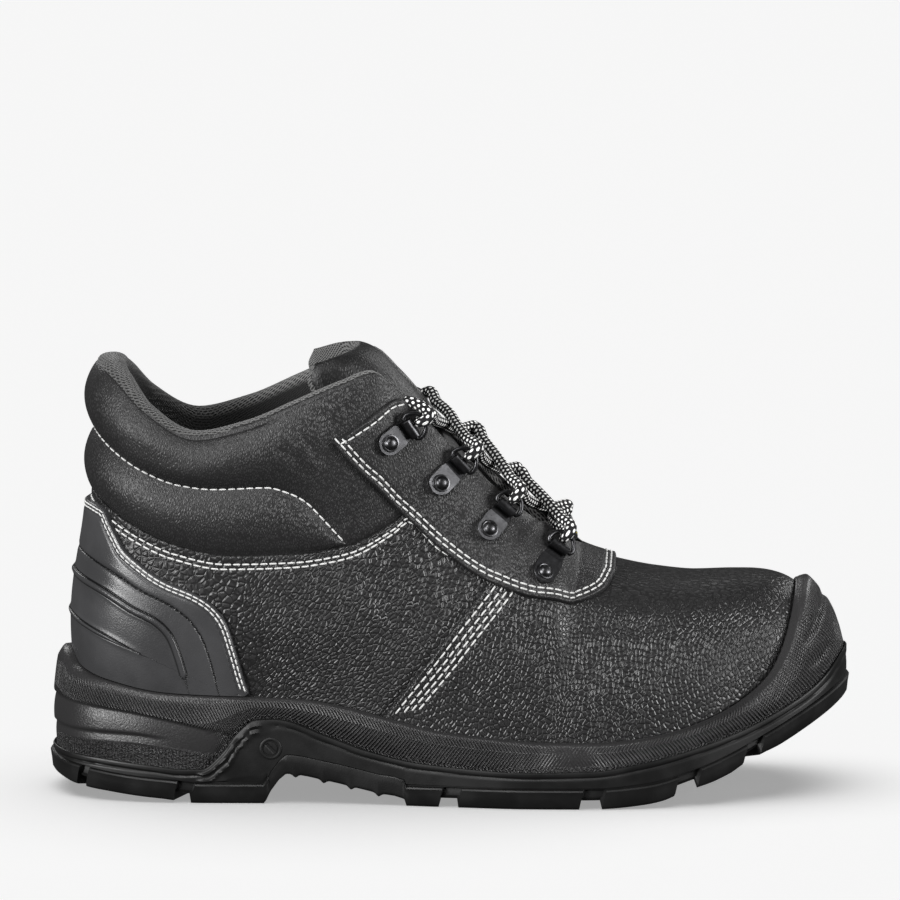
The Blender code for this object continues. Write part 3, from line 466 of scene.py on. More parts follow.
def wall_normal(around, height):
    """Outward direction of one side's wall, read just off its edges."""
    step = 2e-3
    height = np.clip(height, step, 1 - 2 * step)
    along = skin(around + step, height) - skin(around - step, height)
    up = skin(around, height + step) - skin(around, height - step)
    return unit(np.cross(along, up))


def skin_normal(around, height):
    """Outward direction of the upper's outer face, shared by both sides along the vamp's ridge."""
    around, height = np.broadcast_arrays(np.asarray(around, float), np.asarray(height, float))
    normal = wall_normal(around, height)
    both = unit(normal + wall_normal(TURN - around, height))
    ridge = (height > 1 - 1e-6) & (station_of(around) > THROAT_FRONT - 1e-6)
    return np.where(ridge[..., None], both, normal)


def surface(around, height):
    """Points of the upper's outer face and its outward directions there."""
    return skin(around, height), skin_normal(around, height)


def crossing(around, line):
    """Height on each rib where it passes a line drawn on the upper's side."""
    heights = np.linspace(0, 1, 241)
    points = skin(around[:, None], heights[None, :])
    above = points[..., 2] - line("z", points[..., 0])
    found = []
    for values in above:
        i = int(np.argmax(values > 0))
        if i == 0:
            found.append(0.0 if values[0] > 0 else 1.0)
            continue
        share = values[i - 1] / (values[i - 1] - values[i])
        found.append(heights[i - 1] + share * (heights[i] - heights[i - 1]))
    return np.array(found)


class UpperLine:
    """A line drawn on the upper's side, read as a height on any rib."""

    def __init__(self, table):
        self.places = np.linspace(0, TURN, 721)
        self.heights = crossing(self.places, table)

    def __call__(self, around):
        return np.interp(np.mod(around, TURN), self.places, self.heights)


RIM_LINE = UpperLine(RIM)
SEAM_LINE = UpperLine(COLLAR_EDGE)
QUILT_LINE = UpperLine(QUILT)
QUARTER_LINE = UpperLine(QUARTER_TOP)


def search_grid(side):
    """Places, heights and points spread over one side of the upper."""
    places = on_side(side, np.linspace(0.02, math.pi - 0.02, 160))
    around, height = np.meshgrid(places, np.linspace(0, 1, 100), indexing="ij")
    return around, height, skin(around, height)


SEARCH = {side: search_grid(side) for side in SIDES.values()}


def skin_place(side, x, z):
    """Place round the foot and height on its rib of a point on the upper seen from the side."""
    around, height, points = SEARCH[side]
    nearest = np.argmin(np.hypot(points[..., 0] - x, points[..., 2] - z))
    place = np.array((around.flat[nearest], height.flat[nearest]))
    step = 1e-4
    for _ in range(8):
        here = skin(place[0], place[1])[[0, 2]]
        by_around = (skin(place[0] + step, place[1])[[0, 2]] - here) / step
        by_height = (skin(place[0], place[1] - step)[[0, 2]] - here) / -step
        slopes = np.stack((by_around, by_height), axis=1)
        move = np.linalg.lstsq(slopes, np.array((x, z)) - here, rcond=None)[0]
        place = place + np.clip(move, -0.05, 0.05)
        place[1] = np.clip(place[1], 0, 1)
    return place


def run_lengths(points):
    """Length along a path up to each of its points."""
    steps = np.linalg.norm(np.diff(points, axis=0), axis=-1)
    return np.concatenate((np.zeros_like(steps[:1]), np.cumsum(steps, axis=0)))


def spread_over(points, shares):
    """Points of a smooth curve through given points, at shares of its length."""
    points = np.asarray(points, float)
    keys = run_lengths(points)
    at = keys[-1] * np.asarray(shares)
    return np.stack([smooth(keys, column, at) for column in points.T], axis=-1)


def side_line(side, line, shares):
    """Places and heights along a line drawn on the upper's side."""
    places = np.array([skin_place(side, x, z) for x, z in line])
    flat = np.column_stack((places[:, 0] * SOLE_LENGTH / 2, places[:, 1] * SOLE_LENGTH / 2))
    found = spread_over(flat, shares) / (SOLE_LENGTH / 2)
    return found[:, 0], found[:, 1]


LINE_POINTS = 90
DISTANCE_PARTS = 40
CREASE_SHOULDER = 0.45


def distance_to(points, line):
    """Distance of each point from the nearest point of a closely spaced line."""
    parts = np.array_split(points.reshape(-1, points.shape[-1]), DISTANCE_PARTS)
    found = [np.linalg.norm(part[:, None] - line[None], axis=-1).min(axis=1) for part in parts]
    return np.concatenate(found).reshape(points.shape[:-1])


def side_distance(points, line):
    """Distance from a line in the side view, the share along it, and 1 above it or -1 below."""
    dense = spread_over(line, np.linspace(0, 1, LINE_POINTS))
    flat = points[..., [0, 2]].reshape(-1, 2)
    apart = np.linalg.norm(flat[:, None] - dense[None], axis=-1)
    nearest = apart.argmin(axis=1)
    run = np.gradient(dense, axis=0)[nearest]
    off = flat - dense[nearest]
    above = np.where(run[:, 0] * off[:, 1] - run[:, 1] * off[:, 0] > 0, 1.0, -1.0)
    found = (apart.min(axis=1), nearest / (LINE_POINTS - 1), above)
    return [value.reshape(points.shape[:-1]) for value in found]


def crease_depth(points):
    """How far the leather's creases go in at each point, seen from the side."""
    depth = np.zeros(points.shape[:-1])
    for crease in CREASES:
        apart, share, _ = side_distance(points, crease["line"])
        faded = np.sin(math.pi * share).clip(0, 1) ** 0.5
        trough = bell(apart, crease["half"])
        shoulder = bell(apart - 2 * crease["half"], crease["half"])
        depth += crease["depth"] * faded * (trough - CREASE_SHOULDER * shoulder)
    return depth


def collar_lift(around, height):
    """How far the collar's padded rolls stand out of the upper's face."""
    station = station_of(around)
    seam = SEAM_LINE(around)
    quilt = np.clip(QUILT_LINE(around), seam, 1)
    rib = RIBS("top_z", station)
    low_size = np.minimum(COLLAR_ROLLS("lower", station), (quilt - seam) * rib * ROLL_SLIMNESS)
    low = np.sin(math.pi * np.clip((height - seam) / np.maximum(quilt - seam, 1e-3), 0, 1)).clip(0, 1)
    high = np.sin(math.pi * np.clip((height - quilt) / np.maximum(1 - quilt, 1e-3), 0, 1)).clip(0, 1)
    return low_size * low ** ROLL_FULLNESS + COLLAR_ROLLS("upper", station) * high ** ROLL_FULLNESS


def vamp_front(around, height):
    """How far in front of the vamp's rear edge a place lies."""
    folded = np.minimum(np.mod(around, TURN), TURN - np.mod(around, TURN))
    return (folded - vamp_start(height)) * SOLE_LENGTH / 2


def vamp_lift(around, height):
    """Step of the vamp's rear edge over the quarter, which fades towards the toe."""
    front = vamp_front(around, height)
    return VAMP_STEP * (1 - eased(front, VAMP_FLAT, VAMP_FADE)) * eased(front, -0.6, 0.6)


def ground(around, height):
    """Outer face of the collar, quarters and vamp, out from the upper's plain face."""
    return collar_lift(around, height) + vamp_lift(around, height)


def vamp_edge():
    """Heights and places round the foot of the vamp's rear edge, up to the throat."""
    around, height = side_line(LATERAL, VAMP_EDGE, np.linspace(0, 1, 25))
    height = np.maximum.accumulate(height + 1e-6 * np.arange(len(height)))
    return np.append(height, 1.0), np.append(around, angle_of(VAMP_TOP_STATION))


VAMP_REAR = vamp_edge()


def vamp_start(height):
    """Place round the foot of the vamp's rear edge at a height."""
    return np.interp(height, *VAMP_REAR)


class Body:
    """Points in millimetres, faces, pattern places and finishes of one piece while it is put together."""

    def __init__(self):
        self.points = []
        self.faces = []
        self.pattern = []
        self.finish = []
        self.count = 0

    def add(self, points, faces, pattern=None, finish=0):
        points = np.asarray(points, float).reshape(-1, 3)
        places = np.zeros((len(points), 4))
        if pattern is None:
            pattern = points[:, :2]
        pattern = np.asarray(pattern, float).reshape(len(points), -1)
        places[:, :pattern.shape[1]] = pattern
        self.faces += [[int(i) + self.count for i in face] for face in faces]
        self.finish += list(np.broadcast_to(finish, len(faces)))
        self.points.append(points)
        self.pattern.append(places)
        self.count += len(points)

    def shell(self, outer, inner, open_top=None, pattern=None, open_end=False):
        """Two grids of points as the faces of one sheet, with walls round it except where it is open."""
        rows, columns = outer.shape[:2]
        count = rows * columns
        quads = grid_quads(rows, columns)
        faces = [quads, quads[:, ::-1] + count]
        number = np.arange(count).reshape(rows, columns)
        borders = [number[0], number[:, -1], number[::-1, 0]]
        if open_end:
            borders.pop(1)
        faces += [wall_quads(line, count) for line in borders]
        top = wall_quads(number[-1, ::-1], count)
        if open_top is not None:
            closed = ~(open_top[:-1] & open_top[1:])[::-1]
            top = top[closed]
        faces.append(top)
        if pattern is not None:
            pattern = np.concatenate((pattern, pattern)).reshape(2 * count, -1)
        self.add(np.concatenate((outer.reshape(-1, 3), inner.reshape(-1, 3))), np.concatenate(faces), pattern)


def grid_quads(rows, columns):
    """Quads of an open grid whose points are numbered row by row."""
    first = (np.arange(rows - 1)[:, None] * columns + np.arange(columns - 1)[None, :]).ravel()
    return np.stack((first, first + 1, first + columns + 1, first + columns), axis=1)


def wall_quads(line, offset):
    """Quads from a line of points to the same line of another grid, numbered offset further on."""
    return np.stack((line[:-1], line[:-1] + offset, line[1:] + offset, line[1:]), axis=1)


def strip_faces(count, first):
    """Strips from side to side that close an open ring, whose last point is its first again."""
    last = first + count - 1
    return [(first + i, first + i + 1, last - i - 1, last - i) for i in range((count - 1) // 2)]


def tube_faces(rings, sides):
    """Quads of a tube whose rings close on themselves, and a face for each of its ends."""
    faces = []
    for first in range(0, (rings - 1) * sides, sides):
        for i in range(first, first + sides):
            after = first + (i + 1 - first) % sides
            faces.append([i, after, after + sides, i + sides])
    last = (rings - 1) * sides
    return faces + [list(range(sides)), list(range(last, last + sides))]


WELD = 2e-6
LEAST_EDGE = 1e-7


def make_piece(name, body, finishes, nodes=(), sharp=50.0):
    """Weld a body into a mesh in metres and put it on the frame in place of some CAD nodes."""
    mesh = bpy.data.meshes.new(name)
    points = (np.concatenate(body.points) + HEEL_BACK) * MM
    mesh.from_pydata(points.tolist(), [], body.faces)
    corners = np.empty(len(mesh.loops), int)
    mesh.loops.foreach_get("vertex_index", corners)
    places = np.concatenate(body.pattern)[corners]
    for name_of_map, columns in (("pattern", places[:, :2]), ("zones", places[:, 2:])):
        layer = mesh.uv_layers.new(name=name_of_map)
        layer.data.foreach_set("uv", columns.ravel())
    mesh.polygons.foreach_set("material_index", np.array(body.finish, int))
    work = bmesh.new()
    work.from_mesh(mesh)
    bmesh.ops.remove_doubles(work, verts=work.verts, dist=WELD)
    bmesh.ops.dissolve_degenerate(work, edges=work.edges, dist=LEAST_EDGE)
    bmesh.ops.delete(work, geom=[v for v in work.verts if not v.link_faces], context="VERTS")
    bmesh.ops.recalc_face_normals(work, faces=work.faces)
    work.to_mesh(mesh)
    work.free()
    for finish in finishes:
        mesh.materials.append(finish)
    mesh.shade_smooth()
    mesh.set_sharp_from_angle(angle=math.radians(sharp))
    piece = bpy.data.objects.new(name, mesh)
    bpy.context.scene.collection.objects.link(piece)
    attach(piece, "root")
    if nodes:
        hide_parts(*nodes)
    return piece


class Value:
    """A socket in a shader expression; arithmetic on it adds Math nodes."""

    def __init__(self, finish, socket):
        self.finish = finish
        self.socket = socket

    def math(self, operation, *operands):
        return self.finish.node("ShaderNodeMath", {"operation": operation}, dict(enumerate(operands)))

    def __add__(self, other):
        return self.math("ADD", self, other)

    def __sub__(self, other):
        return self.math("SUBTRACT", self, other)

    def __mul__(self, other):
        return self.math("MULTIPLY", self, other)

    def __truediv__(self, other):
        return self.math("DIVIDE", self, other)

    def wave(self, pitch):
        """Sine with one period for each pitch."""
        return self.math("SINE", self * (TURN / pitch))

    def fraction(self):
        return self.math("FRACT", self)

    def stagger(self):
        """Half a step on every other whole number."""
        whole = self.math("FLOOR", self)
        return whole.math("MODULO", whole, 2.0) * 0.5


CREASE_SHARE = 0.3
MIDDLE = (0.3, 0.7)
WIDE = (0.2, 0.8)
SATIN_SCALE = 1900.0


class Finish:
    """A procedural material while its nodes are put together."""

    def __init__(self, name, **constants):
        self.material = bpy.data.materials.new(name)
        self.material.use_nodes = True
        self.tree = self.material.node_tree
        self.shader = self.tree.nodes["Principled BSDF"]
        for socket, value in constants.items():
            self.shader.inputs[socket.replace("_", " ")].default_value = value

    def node(self, kind, settings=None, sockets=None, output=0):
        """Value of a new node of that type, its settings made first and its sockets set or linked after."""
        node = self.tree.nodes.new(kind)
        for key, value in (settings or {}).items():
            setattr(node, key, value)
        for key, value in (sockets or {}).items():
            self.plug(node.inputs[key], value)
        return Value(self, node.outputs[output])

    def plug(self, socket, value):
        if isinstance(value, Value):
            self.tree.links.new(value.socket, socket)
        else:
            socket.default_value = value

    def feed(self, socket, value):
        self.plug(self.shader.inputs[socket], value)

    def place(self):
        """The point's own place in metres."""
        return self.node("ShaderNodeTexCoord", output="Object")

    def axes(self, vector):
        return [self.node("ShaderNodeSeparateXYZ", None, {0: vector}, output=i) for i in range(3)]

    def pattern(self):
        """The point's place in its piece's own pattern, in millimetres."""
        return self.axes(self.node("ShaderNodeUVMap", {"uv_map": "pattern"}))[:2]

    def zones(self):
        """Two shares, from 0 to 1, that the piece gives its parts."""
        return self.axes(self.node("ShaderNodeUVMap", {"uv_map": "zones"}))[:2]

    def plates(self, vector, dimensions, crease=CREASE_SHARE):
        """Flat-topped grain of size one, parted by narrow creases."""
        settings = {"feature": "DISTANCE_TO_EDGE", "voronoi_dimensions": dimensions}
        sockets = {"Vector": vector, "Scale": 1.0, "Randomness": 0.95}
        return self.ramp(self.node("ShaderNodeTexVoronoi", settings, sockets, "Distance"), 0.0, crease)

    def noise(self, vector, scale, detail=3.0, output="Fac"):
        sockets = {"Vector": vector, "Scale": scale, "Detail": detail}
        return self.node("ShaderNodeTexNoise", None, sockets, output)

    def ramp(self, value, start, end, low=0.0, high=1.0):
        """Even S from low to high while a value goes from start to end."""
        sockets = {"Value": value, "From Min": start, "From Max": end, "To Min": low, "To Max": high}
        return self.node("ShaderNodeMapRange", {"interpolation_type": "SMOOTHSTEP"}, sockets)

    def ovals(self, row, step, half_row, half_step, start, end):
        """1 inside the oval in each cell of rows and steps, and 0 outside it."""
        tall = (row.fraction() - 0.5) / half_row
        wide = (step.fraction() - 0.5) / half_step
        return self.ramp(tall * tall + wide * wide, start, end, 1.0, 0.0)

    def mix(self, share, first, second):
        """Colour between two colours."""
        colours = [c if isinstance(c, Value) else (*c, 1.0) for c in (first, second)]
        return self.node("ShaderNodeMix", {"data_type": "RGBA"}, {0: share, 6: colours[0], 7: colours[1]}, 2)

    def bump(self, height, depth, strength=1.0):
        sockets = {"Strength": strength, "Distance": depth * MM, "Height": height}
        self.feed("Normal", self.node("ShaderNodeBump", None, sockets))


def times(colour, factor):
    return tuple(channel * factor for channel in colour)


def leather_finish(
    name, colour, cell, depth, roughness, strokes=None, stretch=(1, 1, 1), lean=0.0, crease=CREASE_SHARE
):
    """Leather of rounded grain cells of a size in millimetres.

    Strokes, if given, are the width, length and lean of the drawn-out cells that take over in the zone.
    """
    finish = Finish(name, Specular_IOR_Level=0.33)
    place = finish.place()
    drift = finish.noise(place, 220.0, 2.0, "Color")
    pull = (cell * 0.5 * MM,) * 3
    moved = finish.node("ShaderNodeVectorMath", {"operation": "MULTIPLY_ADD"}, {0: drift, 1: pull, 2: place})
    size = tuple(share / (cell * MM) for share in stretch)
    grown = finish.node("ShaderNodeMapping", None, {"Vector": moved, "Rotation": (0, lean, 0), "Scale": size})
    grain = finish.plates(grown, "3D", crease)
    if strokes:
        width, length, slant = strokes
        along, up = finish.pattern()
        sway = finish.noise(place, 160.0, 2.0) * 2.4
        sockets = {0: (along + up * slant + sway) / width, 1: up / length}
        drawn = finish.plates(finish.node("ShaderNodeCombineXYZ", None, sockets), "2D")
        share = finish.zones()[0]
        grain = grain + (drawn - grain) * share
    pores = finish.noise(place, 2600.0, 2.0)
    patches = finish.noise(place, 45.0)
    finish.bump(grain + pores * 0.08, depth)
    # Painted shade and highlight: the grain's creases are painted darker and the tops of its cells lighter;
    # the patches are tone that differs at random.
    shade = finish.mix(finish.ramp(grain, *WIDE), times(colour, 0.45), times(colour, 1.2))
    finish.feed("Base Color", finish.mix(patches * 0.5, shade, times(colour, 0.8)))
    gloss = finish.ramp(patches, *MIDDLE, roughness - 0.02, roughness + 0.04)
    finish.feed("Roughness", gloss - grain * 0.04)
    return finish.material


def moulded_finish(name, colour, roughness, depth=0.05):
    """Moulded plastic or rubber with a fine satin skin and slight wear."""
    finish = Finish(name, Specular_IOR_Level=0.27)
    place = finish.place()
    skin_grain = finish.noise(place, SATIN_SCALE)
    wear = finish.noise(place, 70.0, 4.0)
    finish.bump(skin_grain, depth, 0.8)
    finish.feed("Base Color", finish.mix(finish.ramp(wear, 0.4, 0.75), colour, times(colour, 1.5)))
    finish.feed("Roughness", finish.ramp(wear, *MIDDLE, roughness - 0.05, roughness + 0.1))
    return finish.material


def counter_finish(name, colour, roughness):
    """Satin plastic with the crisp edges of its moulded lines, one groove and two ribs, with painted shade
    along them.
    """
    finish = Finish(name, Specular_IOR_Level=0.33)
    groove, rib = finish.pattern()
    short_rib = finish.zones()[0]
    place = finish.place()
    satin = finish.noise(place, SATIN_SCALE)
    wear = finish.noise(place, 50.0, 4.0)

    def line(value, middle, half):
        off = (value - middle) / half
        return off.math("EXPONENT", off * off * -1.0)

    cut = line(groove, 0.0, 0.42) + line(rib, 1.35, 0.3) + line(rib, -1.3, 0.34) * 0.6
    cut = cut + line(short_rib, 0.8, 0.26) + line(short_rib, -0.8, 0.3) * 0.6
    finish.bump(satin * 0.12 - cut * 0.9, 0.6)
    plain = finish.mix(finish.ramp(wear, 0.35, 0.75), times(colour, 0.85), times(colour, 1.15))
    # Painted shade: the colour goes almost black along the groove and the flanks of the ribs.
    finish.feed("Base Color", finish.mix(finish.ramp(cut, 0.1, 0.8), plain, times(colour, 0.15)))
    finish.feed("Roughness", finish.ramp(wear, *MIDDLE, roughness - 0.04, roughness + 0.06))
    return finish.material


KNURL_PITCH = 1.3
KNURL_LEAN = 0.7


def knurl_finish(name, colour, roughness):
    """Midsole foam with fine slanting knurls, crossed at the toe, where the zones ask for them; painted
    highlight on their crests and painted shade in their troughs, stronger on the toe bumper.
    """
    finish = Finish(name, Specular_IOR_Level=0.3)
    along, up = finish.pattern()
    strength, crossed = finish.zones()
    place = finish.place()
    first = (along + up * KNURL_LEAN).wave(KNURL_PITCH)
    second = (along - up * KNURL_LEAN).wave(KNURL_PITCH)
    lines = first + crossed * (second - first) * 0.5
    worn = finish.ramp(finish.noise(place, 60.0, 2.0), 0.3, 0.55, 0.6, 1.0)
    grain = finish.noise(place, 1500.0)
    cut = lines * worn * strength
    torn = finish.ramp(up, 0.4, 1.8, 1.0, 0.0) * finish.ramp(finish.noise(place, 1100.0, 2.0), 0.4, 0.65)
    finish.bump(cut * 0.6 + grain * 0.25 + torn, 0.65)
    # Painted highlight and shade: the knurls' crests are painted lighter and their troughs darker, with a
    # stronger contrast on the toe bumper.
    crest = finish.ramp(cut, -0.8, 0.8)
    shade = finish.mix(crest, times(colour, 0.3), times(colour, 1.7))
    toe_painted_highlight_and_shade = finish.mix(crest, times(colour, 0.15), times(colour, 2.4))
    finish.feed("Base Color", finish.mix(crossed, shade, toe_painted_highlight_and_shade))
    finish.feed("Roughness", finish.ramp(grain, *MIDDLE, roughness - 0.06, roughness + 0.08))
    return finish.material


MESH_ROW = 1.1
MESH_EYE = 1.9


def mesh_finish(name, colour):
    """Knitted lining: staggered rows of long eyelets painted dark, as shade in the holes; where the zone is
    low the knit is painted near black, as shade inside the boot.
    """
    finish = Finish(name, Specular_IOR_Level=0.25, Sheen_Weight=0.2)
    along, up = finish.pattern()
    tone_and_painted_shade = finish.zones()[0]
    place = finish.place()
    wobble = finish.noise(place, 500.0, 2.0) - 0.5
    row = up / MESH_ROW + wobble * 0.7
    step = along / MESH_EYE + row.stagger() + wobble * 0.5
    holes = finish.ovals(row, step, 0.36, 0.46, 0.35, 1.2)
    yarn = finish.noise(place, 2400.0)
    finish.bump(yarn * 0.4 - holes, 0.45)
    knit = finish.mix(yarn, times(colour, 0.6), times(colour, 1.4))
    # Painted shade: where the zone is low, the knit is painted near black.
    shaded = finish.mix(tone_and_painted_shade, times(colour, 0.025), knit)
    # Painted shade: the eyelets are painted near black, as the shade inside the holes.
    finish.feed("Base Color", finish.mix(holes, shaded, times(colour, 0.05)))
    finish.feed("Roughness", finish.ramp(yarn, *WIDE, 0.8, 0.95))
    return finish.material


def metal_finish(name, colour):
    """Black nickel plate with faint scratches."""
    finish = Finish(name, Metallic=1.0)
    place = finish.place()
    drawn = finish.node("ShaderNodeMapping", None, {"Vector": place, "Scale": (1.0, 6.0, 6.0)})
    scratches = finish.noise(drawn, 700.0, 4.0)
    wear = finish.noise(place, 240.0)
    finish.bump(scratches, 0.02, 0.5)
    finish.feed("Base Color", finish.mix(finish.ramp(wear, 0.45, 0.8), colour, times(colour, 1.8)))
    finish.feed("Roughness", finish.ramp(scratches, *WIDE, 0.26, 0.46))
    return finish.material


FLECK_ROWS = 8
FLECK_PITCH = 2.8
BRAID_LEAN = 6.6
BRAID_PITCH = 1.1


def lace_finish(name, colour, fleck):
    """Braided cord with staggered pale oval flecks."""
    finish = Finish(name, Specular_IOR_Level=0.2)
    turn, along = finish.pattern()
    row = turn * FLECK_ROWS
    inside = finish.ovals(row, along / FLECK_PITCH + row.stagger(), 0.34, 0.25, 0.75, 1.05)
    braid = (along + turn * BRAID_LEAN).wave(BRAID_PITCH) * (along - turn * BRAID_LEAN).wave(BRAID_PITCH)
    fuzz = finish.noise(finish.place(), 1800.0)
    finish.bump(braid * 0.5 + fuzz * 0.5, 0.3, 0.9)
    shade = finish.mix(fuzz, times(colour, 0.6), times(colour, 1.5))
    finish.feed("Base Color", finish.mix(inside, shade, fleck))
    finish.feed("Roughness", finish.ramp(fuzz, *WIDE, 0.75, 0.95))
    return finish.material


THREAD_TWIST = 1.6
TAPE_WEAVE = 0.7
TAPE_COLOUR = (0.02, 0.02, 0.02)


def thread_finish(name, colour):
    """Twisted sewing thread."""
    finish = Finish(name, Specular_IOR_Level=0.3)
    along, turn = finish.pattern()
    twist = (along * THREAD_TWIST + turn).wave(1.0)
    fuzz = finish.noise(finish.place(), 2500.0, 2.0)
    finish.bump(twist, 0.08, 0.8)
    finish.feed("Base Color", finish.mix(fuzz, times(colour, 0.8), colour))
    finish.feed("Roughness", finish.ramp(fuzz, *WIDE, 0.5, 0.7))
    return finish.material


def felt_finish(name, colour):
    """Short-napped fabric."""
    finish = Finish(name, Specular_IOR_Level=0.2, Sheen_Weight=0.2)
    place = finish.place()
    nap = finish.noise(place, 1600.0, 4.0)
    finish.bump(nap, 0.3, 0.8)
    finish.feed("Base Color", finish.mix(nap, times(colour, 0.6), times(colour, 1.4)))
    finish.feed("Roughness", finish.ramp(nap, *WIDE, 0.85, 0.98))
    return finish.material


def tape_finish(name, colour, stripe):
    """Woven tape with one plain stripe along it."""
    finish = Finish(name, Specular_IOR_Level=0.25)
    along, across = finish.pattern()
    weave = along.wave(TAPE_WEAVE) * across.wave(TAPE_WEAVE)
    inside = finish.ramp(across.math("ABSOLUTE", across), 1.0, 1.3, 1.0, 0.0)
    finish.bump(weave, 0.15, 0.8)
    finish.feed("Base Color", finish.mix(inside, colour, stripe))
    finish.feed("Roughness", finish.ramp(weave, -1.0, 1.0, 0.6, 0.8))
    return finish.material


END_CROWDING = 0.88


def ring_shares(steps, extra=()):
    """Places round the sole, heel to toe and back to the heel, crowded at the round ends."""
    share = np.linspace(0, 1, steps + 1)
    crowded = (1 - np.cos(math.pi * share)) / 2
    stations = SOLE_LENGTH * (END_CROWDING * crowded + (1 - END_CROWDING) * share)
    stations = np.array(sorted(set(np.round(stations, 4)) | set(extra)))
    lateral = angle_of(stations)
    return np.concatenate((lateral, TURN - lateral[-2::-1]))


def lifted(plan, z):
    """Ring of points from a plan outline and its heights."""
    return np.column_stack((plan, np.broadcast_to(z, len(plan))))


def core_height(station):
    """Top of the outsole inside its lip."""
    return np.minimum(EDGE("z", station) - LEAST_LIP, SOLE_PLAN("feather", station) - MIDSOLE_FLOOR)


def in_ranges(station, ranges):
    inside = np.zeros(len(station), bool)
    for start, end in ranges:
        inside |= (station > start) & (station < end)
    return inside


def drawn_in(plan, share):
    """Outline shrunk towards the sole's long axis and drawn in by as much round the heel and the toe."""
    x = plan[:, 0]
    axis = TOE_SHIFT * (x / SOLE_LENGTH) ** 2
    pull = share * MEAN_BREADTH / 2
    at_heel = np.clip(1 - x / END_ZONE, 0, 1)
    at_toe = np.clip(1 - (SOLE_LENGTH - x) / END_ZONE, 0, 1)
    return np.column_stack((x + pull * (at_heel - at_toe), axis + (plan[:, 1] - axis) * (1 - share)))


def ring_body(rings, pattern=None):
    """Body through a stack of open rings, its first and last ring filled from side to side."""
    rows, columns = len(rings), len(rings[0])
    body = Body()
    faces = [*grid_quads(rows, columns), *strip_faces(columns, 0)]
    faces += strip_faces(columns, (rows - 1) * columns)
    body.add(np.concatenate(rings), faces, pattern)
    return body


def outsole_body():
    """Lugged plate with an upright lip that becomes the arch bridge and the toe lip."""
    extra = [*BREAST_STATIONS, *range(56, 86)]
    extra += [edge + share * NOTCH_WALL for notch in NOTCHES for edge in notch for share in (-2, -1, 1, 2)]
    extra += [bump + step for bump in ARCH_BUMPS for step in (-2, -1.2, -0.6, 0, 0.6, 1.2, 2)]
    places = ring_shares(150, extra)
    station = station_of(places)
    plan = outline(places)
    out = outward(places)
    notched = in_ranges(station, NOTCHES)
    arched = in_ranges(station, ARCH)
    near = sum(np.exp(-(((station - sum(notch) / 2) / 7) ** 4)) for notch in NOTCHES)
    behind = angle_of(station - LUG_LEAN)
    leant = outline(np.where(places > math.pi, TURN - behind, behind))
    lean = (leant - plan) * near.clip(0, 1)[:, None]
    edge = EDGE("z", station)
    lip = plan - out * LIP("width", station)[:, None]
    bottom = BOTTOM("z", station)
    lug_top = bottom + LUG_HEIGHT
    bottom = bottom - sum(BUMP_DROP * bell(station - bump, BUMP_HALF) for bump in ARCH_BUMPS)
    side_inset = np.where(notched, NOTCH_INSET, np.where(arched, LUG_PROUD, 0))[:, None]
    tread_inset = np.where(notched, NOTCH_INSET, LUG_DRAFT)[:, None]
    groove = np.where(notched, GROOVE_DEPTH, 0)
    slope = np.gradient(edge, station + 1e-6 * np.arange(len(station)))
    steepness = 1 / np.sqrt(1 + np.nan_to_num(slope).clip(-4, 4) ** 2)
    on_bridge = eased(station, *BRIDGE_RISE) * (1 - eased(station, *BRIDGE_FALL))

    def wall(z):
        below = (edge - z) * steepness
        ridges = sum(bell(below - at, RIDGE_HALF) for at in BRIDGE_RIDGES) * on_bridge
        ledge = LEDGE_DEPTH * bell(below - LEDGE_DROP, LEDGE_HALF) * (1 - on_bridge)
        return lifted(plan - out * (LUG_PROUD + ledge - ridges)[:, None], z)

    def tread(share, depth):
        ring = drawn_in(plan, share)
        return lifted(ring, BOTTOM("z", ring[:, 0]) + depth)

    pads = np.where(in_ranges(station, PADS), PAD_DEPTH, GROOVE_DEPTH)
    rings = [
        lifted(lip, core_height(station)),
        lifted(lip, edge - 0.4),
        lifted(lip + out * 0.35, edge),
        lifted(plan - out * (LUG_PROUD + 0.6), edge),
        lifted(plan - out * (LUG_PROUD + 0.18), edge - 0.18),
        wall(edge - 0.6),
    ]
    rings += [wall(edge - 0.6 + (lug_top - edge + 0.6) * share) for share in np.linspace(0.06, 0.9, 16)]
    sunk = np.where(arched, LUG_PROUD, LUG_PROUD + LUG_SHADOW)[:, None]
    rings += [
        lifted(plan - out * sunk, lug_top + 0.5),
        lifted(plan - out * sunk, lug_top + 0.1),
        lifted(plan - out * (side_inset + 0.35), lug_top - 0.25),
        lifted(plan - out * side_inset, lug_top - 0.8),
        lifted(plan + lean * 0.4 - out * (side_inset * 0.7 + tread_inset * 0.3), lug_top - 3.0),
        lifted(plan + lean * 0.85 - out * (side_inset * 0.2 + tread_inset * 0.6), bottom + groove + 1.2),
        lifted(plan + lean - out * (tread_inset * 0.9 + 0.1), bottom + groove + 0.4),
        lifted(plan + lean - out * (tread_inset + 0.5), bottom + groove),
        tread(LUG_REACH, groove),
        tread(LUG_REACH + GROOVE_WALL, GROOVE_DEPTH),
        tread(LUG_REACH + CHANNEL, GROOVE_DEPTH),
        tread(LUG_REACH + CHANNEL + GROOVE_WALL, pads),
    ]
    body = ring_body(rings)
    add_plug(body)
    return body


